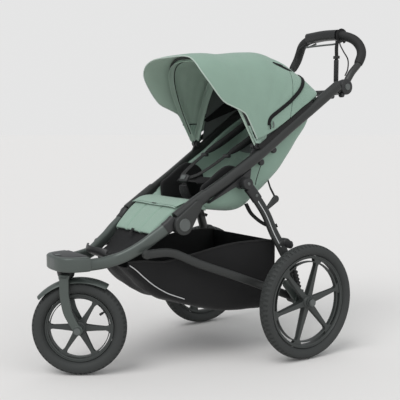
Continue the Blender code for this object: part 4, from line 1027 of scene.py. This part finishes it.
slab(bm, spot(STRAP_X - 0.0105, 0.3390, 0.966), spot(STRAP_X + 0.0105, 0.3490, 1.052), 0.004)
finished("strap_slider", bm, "black plastic", "handle")

# %% [markdown]
# ## Canopy
# The canopy is one curved sheet over two bows. Its stations are arches with a flat top and soft corners,
# each from a foot on the tube to a crown over the seat. The visor isn't a second sheet: it's the same rows
# carried past the front bow, so there is no seam where the light catches it.

# %% Canopy sheet


def arch(half, foot, crown, square=3.2, count=160):
    """Places over a rounded arch from the left to the right, between a (y, z) foot and a (y, z) crown."""
    line = []
    for step in range(count + 1):
        angle = math.pi * step / count
        across, up = math.cos(angle), math.sin(angle)
        rise = abs(up) ** (2 / square)
        line.append(spot(half * math.copysign(abs(across) ** (2 / square), across),
                         foot[0] + (crown[0] - foot[0]) * rise, foot[1] + (crown[1] - foot[1]) * rise))
    return line


def curve(value, pairs):
    """A smooth curve through (input, output) pairs, level outside them."""
    if value <= pairs[0][0]:
        return pairs[0][1]
    if value >= pairs[-1][0]:
        return pairs[-1][1]
    at = max(i for i, pair in enumerate(pairs[:-1]) if pair[0] <= value)

    def slope(i):
        if i in (0, len(pairs) - 1):
            return 0.0
        return (pairs[i + 1][1] - pairs[i - 1][1]) / (pairs[i + 1][0] - pairs[i - 1][0])
    (x0, y0), (x1, y1) = pairs[at], pairs[at + 1]
    wide = x1 - x0
    t = (value - x0) / wide
    return ((2 * t ** 3 - 3 * t ** 2 + 1) * y0 + (t ** 3 - 2 * t ** 2 + t) * wide * slope(at)
            + (3 * t ** 2 - 2 * t ** 3) * y1 + (t ** 3 - t ** 2) * wide * slope(at + 1))


HOOD = 0.205
ZIP, RIM = ((0.010, 0.828), (0.044, 1.034)), ((-0.136, 0.757), (-0.300, 1.044))
VISOR_REACH = ((0.838, 0.0), (0.853, 0.020), (0.870, 0.060), (0.886, 0.073), (0.930, 0.082), (0.985, 0.084),
               (1.022, 0.072), (1.044, 0.060))
front_rows = [arch(HOOD, *ZIP), arch(HOOD, (-0.050, 0.792), (-0.052, 1.060), 3.4),
              arch(HOOD, (-0.105, 0.766), (-0.205, 1.047), 3.9), arch(HOOD, *RIM, 4.4)]
ACROSS, PANEL_ROWS, VISOR_ROWS = 96, 24, 8
panel = over_rows(front_rows, ACROSS + 1, PANEL_ROWS)


def hood_shape(u, w):
    """The panel from the rear seam to the front bow, and the visor past it."""
    row = w * (PANEL_ROWS + VISOR_ROWS)
    if row <= PANEL_ROWS:
        place = panel(u, row / PANEL_ROWS)
        sag = math.sin(math.pi * row / PANEL_ROWS) * math.sin(math.pi * u)
        fan = math.atan2(place.z - RIM[0][1], place.y - AXLE_Y - RIM[0][0])
        crease = noise.noise(Vector((fan * 5.5, place.x * 6, 3.0))) + 0.5 * noise.noise(Vector((fan * 13,
            place.x * 9, 8.0)))
        away = Vector((place.x / HOOD, 0, 0.6)).normalized()
        return place + away * 0.0050 * crease * sag ** 0.5
    share = (row - PANEL_ROWS) / VISOR_ROWS
    place = panel(u, 1.0)
    high = (place.z - RIM[0][1]) / (RIM[1][1] - RIM[0][1])
    reach = curve(place.z, VISOR_REACH) * share
    bend = reach * share * (0.05 + 0.22 * high)
    return place + Vector((-0.06 * reach * place.x / HOOD, -reach,
                           0.16 * reach * (1 - high) - bend * high * 0.7))


# The hood's inner side takes the lighter "sage lit" copy: painted light, for light coming through the canopy
# cloth.
hood = draped("hood", hood_shape, ACROSS, PANEL_ROWS + VISOR_ROWS, "sage", 0.0018, None,
              ["canopy_front", "visor"], lining="sage lit")
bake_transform(hood)
rear_rows = [arch(HOOD, (ZIP[0][0] + 0.001, ZIP[0][1]), (ZIP[1][0] + 0.001, ZIP[1][1])),
             arch(HOOD, (0.062, 0.863), (0.112, 0.990)), arch(HOOD - 0.003, (0.106, 0.889), (0.170, 0.940)),
             arch(HOOD - 0.030, (0.136, 0.902), (0.192, 0.914))]
rear_hood = draped("hood_rear", rippled(over_rows(rear_rows, ACROSS + 1, 24), 0.004, 0.09, 7.0,
                                        lambda u, w: math.sin(math.pi * u) * math.sin(math.pi * w)),
                   ACROSS, 24, "sage", 0.0018, "upper_frame", ["canopy_rear"])

# %% Canopy trim


def trim(name, route, size, look, body=None, up=(1, 0, 0), sides=12, square=2.0):
    return swept(name, look, body, route, size, up=up, sides=sides, square=square)


def on_cloth(route, pieces, lift, inside=False):
    """The route snapped to the nearest cloth, just off it, with the directions away from the cloth."""
    places, ups = [], []
    heart = spot(0, -0.02, 0.88)
    for place in route:
        near, normal = min(((hit, normal) for _, hit, normal, _ in
                            (piece.closest_point_on_mesh(place) for piece in pieces)),
                           key=lambda found: (found[0] - place).length)
        outward = normal if (normal.dot(near - heart) > 0) != inside else -normal
        places.append(near + outward * lift)
        ups.append(outward)
    return places, ups


edge_line = [hood_shape(step / ACROSS, 1.0) for step in range(ACROSS + 1)]
piping = trim("hood_piping", edge_line, (0.0042, 0.0042), "piping", up=(0.3, 0.2, 1), sides=10)
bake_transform(piping)
BAND = [(0.204, -0.086, 0.803), (0.204, -0.085, 0.816), (0.204, -0.074, 0.832), (0.204, -0.035, 0.857),
        (0.204, 0.000, 0.879), (0.203, 0.045, 0.914), (0.200, 0.068, 0.937), (0.190, 0.084, 0.956),
        (0.160, 0.100, 0.970), (0.100, 0.118, 0.985), (0.0, 0.125, 0.990)]
both = [hood, rear_hood]
places, ups = on_cloth(handle_line(BAND, 8), both, 0.0022)
band = trim("vent_band", places, (0.0140, 0.0050), "mesh", "upper_frame", up=ups, square=3.0)
for name, side in SIDES:
    for number, shift in enumerate((0.0, 0.014)):
        top = spot(side * 0.2085, -0.083 + shift, 0.811 + shift * 0.3)
        swept(f"zip_pull_{name}_{number}", "grey plastic" if number else "webbing", "upper_frame",
              [top, top + Vector((side * 0.0035, -0.001, -0.010)),
               top + Vector((side * 0.004, -0.002, -0.022))], (0.0050, 0.0022), up=(1, 0,
                   0), sides=10, square=3)
VENT = [(0.156, -0.030, 1.020), (0.160, 0.000, 1.010), (0.162, 0.025, 0.998), (0.158, 0.050, 0.990)]
for name, side in SIDES:
    places, ups = on_cloth(smooth_route(mirrored(VENT, side), 8), both, 0.0020)
    trim(f"vent_{name}", places, lambda t: (0.016 * math.sin(math.pi * (0.06 + 0.88 * t)) ** 0.8, 0.003),
         "mesh",
         "upper_frame", up=ups, square=2.2)
for name, side in SIDES:
    low = [(0.2010, -0.124, 0.728), (0.2015, -0.050, 0.777), (0.2015, 0.010, 0.815), (0.2010, 0.070, 0.855),
           (0.1980, 0.110, 0.880), (0.1760, 0.140, 0.895)]
    trim(f"rail_{name}", smooth_route(mirrored(low, side)), (0.018, 0.0040), "webbing", "upper_frame",
         square=3.0)

# %% Bows and inner bands
BOW_PIVOT = (-0.124, 0.732)


def bow(name, half, pivot_x, crown, body, node):
    line = [place for place in resampled(arch(half, BOW_PIVOT, crown), 61)][1:-1]
    start = spot(pivot_x, *BOW_PIVOT)
    route = [start] + line + [Vector((-start.x, start.y, start.z))]
    bm = bmesh.new()
    sweep(bm, route, (0.0090, 0.0090), up=(0.1, 1, 0.2), sides=14)
    for x in (pivot_x, -pivot_x):
        drum(bm, BOW_PIVOT, 0.0105, x - 0.0040, x + 0.0040, 0.002, 28)
    return finished(name, bm, "black plastic", body, [node])


bow("front_bow", 0.193, 0.1885, (-0.284, 1.036), "canopy_front_bow", "canopy_bow_front")
bow("middle_bow", 0.187, 0.1660, (-0.047, 1.050), "canopy_middle_bow", "canopy_bow_middle")


def inner_band(name, half, crown, wide, look, body, tilt):
    line = resampled(arch(half, BOW_PIVOT, crown), 65)

    def shape(u, w):
        place = line[round(u * 64)]
        out = (w - 0.5) * wide * (0.55 + 0.45 * math.sin(math.pi * u) ** 0.5)
        run = Vector((0, crown[1] - BOW_PIVOT[1], BOW_PIVOT[0] - crown[0])).normalized()
        cup = (1 - (2 * w - 1) ** 2) * tilt
        return place + run * out + Vector((place.x / HOOD, 0, 0.5)).normalized() * cup
    return draped(name, shape, 64, 6, look, 0.0014, body)


# Both sleeves inside the canopy take the lighter lit copy of the cloth: painted light on the canopy's
# inside.
inner_band("front_sleeve", 0.1870, (-0.281, 1.0270), 0.030, "sage lit", "canopy_front_bow", 0.002)
inner_band("middle_sleeve", 0.1805, (-0.046, 1.0420), 0.036, "sage lit", "canopy_middle_bow", 0.003)
seam_line = resampled(arch(0.1880, BOW_PIVOT, (-0.266, 1.026)), 65)[3:-3]
trim("front_seam", seam_line, (0.0035, 0.0035), "webbing", "canopy_front_bow", up=(0.1, 1, 0.2), sides=8)
lining_rows = [arch(HOOD - 0.012, (-0.086, 0.738), (-0.034, 1.046)),
               arch(HOOD - 0.012, (0.004, 0.806), (0.036, 1.020)),
               arch(HOOD - 0.014, (0.060, 0.846), (0.100, 0.976)), arch(HOOD - 0.018, (0.102, 0.872),
                   (0.156, 0.928)),
               arch(HOOD - 0.044, (0.130, 0.890), (0.176, 0.904))]
lining = draped("hood_lining", over_rows(lining_rows, 65, 24), 64, 24, "lining", 0.0012, "upper_frame")

POCKET = ((-0.170, 0.804), (-0.082, 0.806), (-0.094, 0.738), (-0.136, 0.742))
NET = ((-0.080, 0.822), (0.016, 0.888), (0.084, 0.868), (-0.064, 0.814))


def patch(corners, x, quilt=0.0, bulge=0.0):
    """A four-cornered patch at one side, from (y, z) corners, with slanting quilt lines."""
    a, b, c, d = (Vector(corner) for corner in corners)

    def shape(u, w):
        flat = a.lerp(b, u).lerp(d.lerp(c, u), w)
        line = abs(math.sin(math.pi * 7 * (u + 0.6 * w)))
        puff = bulge * math.sin(math.pi * u) * math.sin(math.pi * w) + quilt * line ** 0.5
        return spot(x - math.copysign(puff, x), flat.x, flat.y)
    return shape


for name, side in SIDES:
    pocket = draped(f"side_pocket_{name}", patch(POCKET, side * 0.1985, 0.0022, 0.006), 42, 24,
                    "sage inner", 0.004,
                    "canopy_front_bow")
    trim(f"pocket_hem_{name}", [spot(side * 0.1975, *POCKET[0]), spot(side * 0.1975, *POCKET[1])],
         (0.0060, 0.0060),
         "webbing", "canopy_front_bow")
    draped(f"side_net_{name}", patch(NET, side * 0.1895), 12, 12, "mesh", 0.0016, "upper_frame", smooth=0)

# %% [markdown]
# ## Seat
# The seat is a deep sling hung between the tubes: its side walls come off the tubes and run down to a
# bottom that follows the sitter's thighs and back. The walls and the bottom are one sheet.

# %% Seat sling
SEAT = (((-0.360, 0.548), (-0.352, 0.528)), ((-0.250, 0.614), (-0.240, 0.511)),
        ((-0.170, 0.665), (-0.152, 0.506)),
        ((-0.100, 0.710), (-0.085, 0.550)), ((-0.040, 0.755), (-0.002, 0.612)), ((0.010, 0.790),
            (0.052, 0.672)),
        ((0.090, 0.840), (0.136, 0.788)), ((0.178, 0.908), (0.186, 0.902)))


def seat_rows(half, inset):
    """The sling's cross rows, pulled in by a distance for what lies in it."""
    rows = []
    for (rim_y, rim_z), (low_y, low_z) in SEAT:
        run = Vector((0, low_y - rim_y, low_z - rim_z))
        run = run.normalized() * max(run.length - inset, 0.001) if run.length > 0.001 else run
        rows.append(arch(half, (rim_y, rim_z), (rim_y + run.y, rim_z + run.z), 4.6))
    return rows


tub_shape = rippled(over_rows(seat_rows(0.164, 0.0), 73, 56), 0.004, 0.07, 11.0,
                    lambda u, w: math.sin(math.pi * u))
tub = draped("seat_sling", tub_shape, 72, 56, "sage", 0.0020, None, ["seat_base", "seat_back"])
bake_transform(tub)
liner_shape = over_rows(seat_rows(0.156, 0.010), 73, 56)
liner = draped("seat_liner", liner_shape, 72, 56, "sage inner", 0.0080, None, offset=0.0)
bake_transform(liner)


def pad_on(name, shape, u_from, u_to, w_from, w_to, lift, look, thick, across, along, grooves=(),
           body=None):
    """A cushion on the liner over a patch of it: crowned, thick, with stitched grooves."""
    def made(u, w):
        uu, ww = u_from + (u_to - u_from) * u, w_from + (w_to - w_from) * w
        place = shape(uu, ww)
        inward = (spot(0, -0.130, 0.780) - place)
        inward.x *= 0.4
        crown = (1 - (2 * u - 1) ** 8) * (1 - (2 * w - 1) ** 8)
        dip = sum(math.exp(-((g - (u if kind == "u" else w)) / 0.018) ** 2) for kind, g in grooves)
        return place + inward.normalized() * (lift + thick * 0.35 * crown - 0.0035 * min(dip, 1))
    piece = draped(name, made, across, along, look, thick, body)
    return piece


fine_liner_rows = seat_rows(0.150, 0.016)
fine_even = [resampled(row, 121) for row in fine_liner_rows]


def liner_place(u, w):
    row = between(fine_even, w)
    at = u * 120
    low = min(int(at), 119)
    return row[low].lerp(row[low + 1], at - low)


seat_pad = pad_on("seat_pad", liner_place, 0.26, 0.74, 0.02, 0.37, 0.004, "black cloth", 0.010, 48, 28,
                  [("u", 0.2), ("u", 0.4), ("u", 0.6), ("u", 0.8)])
back_pad = pad_on("back_pad", liner_place, 0.24, 0.76, 0.44, 0.90, 0.004, "sage inner", 0.012, 48, 48,
                  [("w", 0.25), ("w", 0.5), ("w", 0.75)])
head_pad = pad_on("head_pad", liner_place, 0.22, 0.78, 0.72, 0.965, 0.014, "lining", 0.010, 40, 24,
                  [("w", 0.5)])
for piece in (seat_pad, back_pad, head_pad):
    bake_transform(piece)
WING = [(-0.312, 0.548), (-0.250, 0.540), (-0.190, 0.538), (-0.140, 0.553), (-0.128, 0.590),
        (-0.134, 0.630),
        (-0.152, 0.652), (-0.182, 0.664), (-0.212, 0.664), (-0.245, 0.646), (-0.282, 0.618), (-0.314,
            0.594)]
wing_line = [(p.y - AXLE_Y, p.z) for p in smooth_route([spot(0, y, z) for y, z in WING + WING[:1]], 4)][:-1]
for name, side in SIDES:
    bm = bmesh.new()
    plate(bm, wing_line, side * 0.118, side * 0.134, 0.0065, 5)
    wing = finished(f"hip_pad_{name}", bm, "black cloth", "upper_frame", sharp=70)

# %% [markdown]
# ## Harness
# The shoulder pads are short stuffed sleeves; below them plain webbing runs to the buckle. Webbing is a flat
# ring swept with its wide side turned to the sitter.

# %% Harness
def stuffed(t):
    """A sleeve's width and thickness, pinched at both ends."""
    ends = abs(2 * t - 1) ** 9
    return 0.044 * (1 - 0.45 * ends), 0.017 * (1 - 0.5 * ends)


for name, side in SIDES:
    sleeve = smooth_route(mirrored([(0.060, 0.042, 0.822), (0.066, 0.010, 0.798), (0.069, -0.030, 0.771),
                                    (0.070, -0.080, 0.741), (0.068, -0.150, 0.704)], side))
    sleeve_piece = swept(f"shoulder_pad_{name}", "black cloth", "backrest", sleeve, stuffed,
                         stands_for=["shoulder_straps"] if side > 0 else (), up=(0, -0.5, 0.8), sides=24,
                         square=2.8)
    web = smooth_route(mirrored([(0.068, -0.138, 0.710), (0.066, -0.172, 0.692), (0.060, -0.220, 0.662),
                                 (0.045, -0.266, 0.634), (0.022, -0.289, 0.622)], side))
    webbing = trim(f"shoulder_web_{name}", web, (0.024, 0.0028), "webbing", None, up=(0, -0.5, 0.8),
                   square=5)
    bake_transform(webbing)
    slabbed(f"strap_adjuster_{name}", "black plastic", "backrest",
            spot(side * 0.067 - 0.016, -0.170, 0.689), spot(side * 0.067 + 0.016, -0.154, 0.702), 0.004)
    waist = smooth_route(mirrored([(0.022, -0.289, 0.616), (0.060, -0.266, 0.613), (0.100, -0.215, 0.612),
                                   (0.130, -0.150, 0.612)], side))
    trim(f"waist_web_{name}", waist, (0.026, 0.0028), "webbing", "upper_frame", up=(0, -0.6, 0.8), square=5)
    waist_pad = swept(f"waist_pad_{name}", "black cloth", "upper_frame", waist[4:14],
                      lambda t: (0.040 * (1 - 0.4 * abs(2 * t - 1) ** 9), 0.012), up=(0, -0.6,
                          0.8), sides=20, square=2.8)
bm = bmesh.new()
slab(bm, Vector((-0.023, -0.008, -0.014)), Vector((0.023, 0.008, 0.014)), 0.005, 4)
bmesh.ops.rotate(bm, cent=(0, 0, 0), matrix=Matrix.Rotation(math.radians(-32), 3, "X"), verts=bm.verts)
bmesh.ops.translate(bm, vec=spot(0, -0.294, 0.6175), verts=bm.verts)
finished("clasp", bm, "black plastic", "upper_frame", ["buckle"])
bm = bmesh.new()
slab(bm, Vector((-0.012, -0.0105, -0.008)), Vector((0.012, -0.0070, 0.008)), 0.0015, 3)
bmesh.ops.rotate(bm, cent=(0, 0, 0), matrix=Matrix.Rotation(math.radians(-32), 3, "X"), verts=bm.verts)
bmesh.ops.translate(bm, vec=spot(0, -0.294, 0.6175), verts=bm.verts)
finished("clasp_button", bm, "grey plastic", "upper_frame")
trim("crotch_web", smooth_route([spot(0, -0.284, 0.556), spot(0, -0.293, 0.580), spot(0, -0.298, 0.606)]),
     (0.030, 0.0036), "webbing", "upper_frame", up=(0, -1, 0.2), square=5)
bm = bmesh.new()
sweep(bm, smooth_route([spot(0, -0.286, 0.553), spot(0, -0.296, 0.572), spot(0, -0.302, 0.594)]),
      lambda t: (0.058 * (1 - 0.35 * t ** 3), 0.013), up=(0, -1, 0.2), sides=20, square=2.8)
finished("crotch_pad", bm, "black cloth", "upper_frame")

# %% [markdown]
# ## Leg rest and foot tray
# The leg rest is a flat cushion with two lengthwise seams; its cloth carries on over the seat's front edge
# as a flap. Below it a tight black panel closes the gap down to the moulded tray.

# %% Leg rest
REST = ((-0.312, 0.538, 0.144), (-0.340, 0.546, 0.146), (-0.370, 0.547, 0.146), (-0.400, 0.5385, 0.143),
        (-0.440, 0.514, 0.136), (-0.478, 0.481, 0.128), (-0.509, 0.452, 0.1205))


def rest_place(x, w, lift=0.0):
    y, z, half = between(REST, w)
    return spot(x * half, y, z + lift)


def pad_top(u, w):
    x = 2 * u - 1
    seams = math.exp(-((abs(x) - 0.36) / 0.030) ** 2)
    rim = (abs(x) ** 10 + abs(2 * w - 1) ** 14)
    place = rest_place(x, w)
    away = Vector((0, -0.55, 0.83))
    skirt = max(0.0, (abs(x) - 0.93) / 0.07) ** 1.5
    return place + away * (0.004 - 0.0065 * seams - 0.004 * min(rim, 1.4) - 0.020 * skirt)


leg_pad = draped("leg_pad", pad_top, 60, 40, "sage pad", 0.012, "upper_frame", ["leg_rest"], offset=1.0)
FLAP_END = 0.575


def flap(u, w):
    x = 0.985 * (2 * u - 1)
    place = rest_place(x, 0.0 + FLAP_END * w)
    away = Vector((0, -0.45, 0.89))
    droop = 0.0035 * abs(x) ** 8
    wave = 0.0012 * math.sin(9 * u) * w
    return place + away * (0.0085 + wave - droop + 0.0030 * w ** 8)


flap_piece = draped("rest_flap", flap, 48, 20, "sage pad", 0.0022, "upper_frame")
# A thin roll tucked under the flap's front edge: shaped like a hem, and put there to stand for the line of
# shadow under the edge, so it is part hem and part painted shade.
hem = [flap(step / 24, 1.0) + Vector((0, -0.0026, -0.0022)) for step in range(25)]
trim("flap_hem", hem, (0.0050, 0.0030), "sage inner", "upper_frame", up=(0, -0.45, 0.89), square=2.2)
bm = bmesh.new()
tab = rest_place(0.02, FLAP_END)
slab(bm, tab + Vector((-0.012, -0.008, 0.0060)), tab + Vector((0.012, 0.006, 0.0115)), 0.0014)
finished("flap_tab", bm, "rubber", "upper_frame")
trim("rest_loop", smooth_route([rest_place(0.10, 0.985, 0.006),
                                rest_place(0.085, 1.0, -0.004) + Vector((0, -0.010, -0.004)),
                                rest_place(0.06, 1.0, -0.006) + Vector((0, -0.014, -0.012)),
                                rest_place(0.03, 1.0, -0.003) + Vector((0, -0.010,
                                    -0.006)), rest_place(0.01, 0.985, 0.006)]),
     (0.006, 0.0025), "webbing", "upper_frame", up=(0, -0.55, 0.83))

# %% Calf panel and tray
CALF = ((-0.486, 0.462, 0.120), (-0.506, 0.436, 0.1165), (-0.526, 0.411, 0.112), (-0.546, 0.392, 0.105),
        (-0.574, 0.380, 0.096), (-0.612, 0.373, 0.084))
calf_rows = [[spot(x * half, y, z - 0.004 * (1 - x * x)) for x in (-1, -0.6, -0.2, 0.2, 0.6, 1)] for y, z,
             half in CALF]
calf = draped("calf_cloth", over_rows(calf_rows, 25, 16), 24, 16, "black cloth", 0.0016, "front_frame",
              ["calf_panel"])
bm = bmesh.new()
TRAY_ROWS = ((-0.664, 0.413, 0.068), (-0.665, 0.400, 0.069), (-0.658, 0.387, 0.070),
             (-0.632, 0.377, 0.0705),
             (-0.590, 0.374, 0.0705), (-0.555, 0.378, 0.070), (-0.538, 0.390, 0.069))


def tray_shape(u, w):
    """A scoop whose front wall curves back at its ends."""
    x = 2 * u - 1
    y, z, half = between(TRAY_ROWS, w)
    front = max(0.0, 1 - 1.4 * w)
    return spot(x * half, y + 0.030 * x * x * front, z - 0.003 * x * front - 0.006 * abs(x) ** 6 * front)


draped("tray", tray_shape, 28, 30, "black plastic", 0.0045, "front_frame", ["foot_tray"])
bm = bmesh.new()
for rib in range(5):
    x = -0.044 + 0.022 * rib
    slab(bm, spot(x - 0.003, -0.615, 0.3750), spot(x + 0.003, -0.566, 0.3785), 0.0012)
finished("tray_ribs", bm, "black plastic", "front_frame")

# %% [markdown]
# ## Small things under the tubes
# Knobs, a strap and a bracket hold the recline. They are the parts a hand looks for behind the seat.

# %% Recline knobs and straps
for name, side in SIDES:
    bm = bmesh.new()
    for y, z in ((-0.045, 0.717), (-0.100, 0.676)):
        drum(bm, (y, z), 0.0115, side * 0.1740, side * 0.1880, 0.004, 28)
    drum(bm, (0.224, 0.9065), 0.0080, side * 0.1830, side * 0.1960, 0.003, 24)
    finished(f"recline_knobs_{name}", bm, "black plastic", "upper_frame")
    wire = smooth_route(mirrored([(0.182, -0.100, 0.668), (0.186, -0.112, 0.648), (0.188, -0.124, 0.622),
                                  (0.188, -0.130, 0.600)],
                                 side))
    trim(f"recline_wire_{name}", wire, (0.0028, 0.0028), "rubber", "upper_frame")
    sling_strap = smooth_route(mirrored([(0.130, -0.125, 0.530), (0.150, -0.116, 0.496),
                                         (0.178, -0.092, 0.466),
                                         (0.203, -0.066, 0.452), (0.2140, -0.052, 0.458)], side))
    strap_piece = trim(f"under_strap_{name}", sling_strap, (0.0150, 0.0028), "webbing", None,
                       up=(0.6, -0.3, 0.7), square=5)
    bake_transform(strap_piece)
    bm = bmesh.new()
    plate(bm, link_outline((-0.084, 0.520), (-0.050, 0.548), 0.006, 0.013), side * 0.196, side * 0.206,
          0.003)
    finished(f"strap_bracket_{name}", bm, "frame", "rear_legs")
    trim(f"back_strap_{name}",
         mirrored([(0.199, -0.052, 0.556), (0.165, -0.044, 0.584), (0.135, -0.030, 0.608)], side),
         (0.010, 0.0024), "webbing", "rear_legs", up=(0, 1, 0.2), square=5)
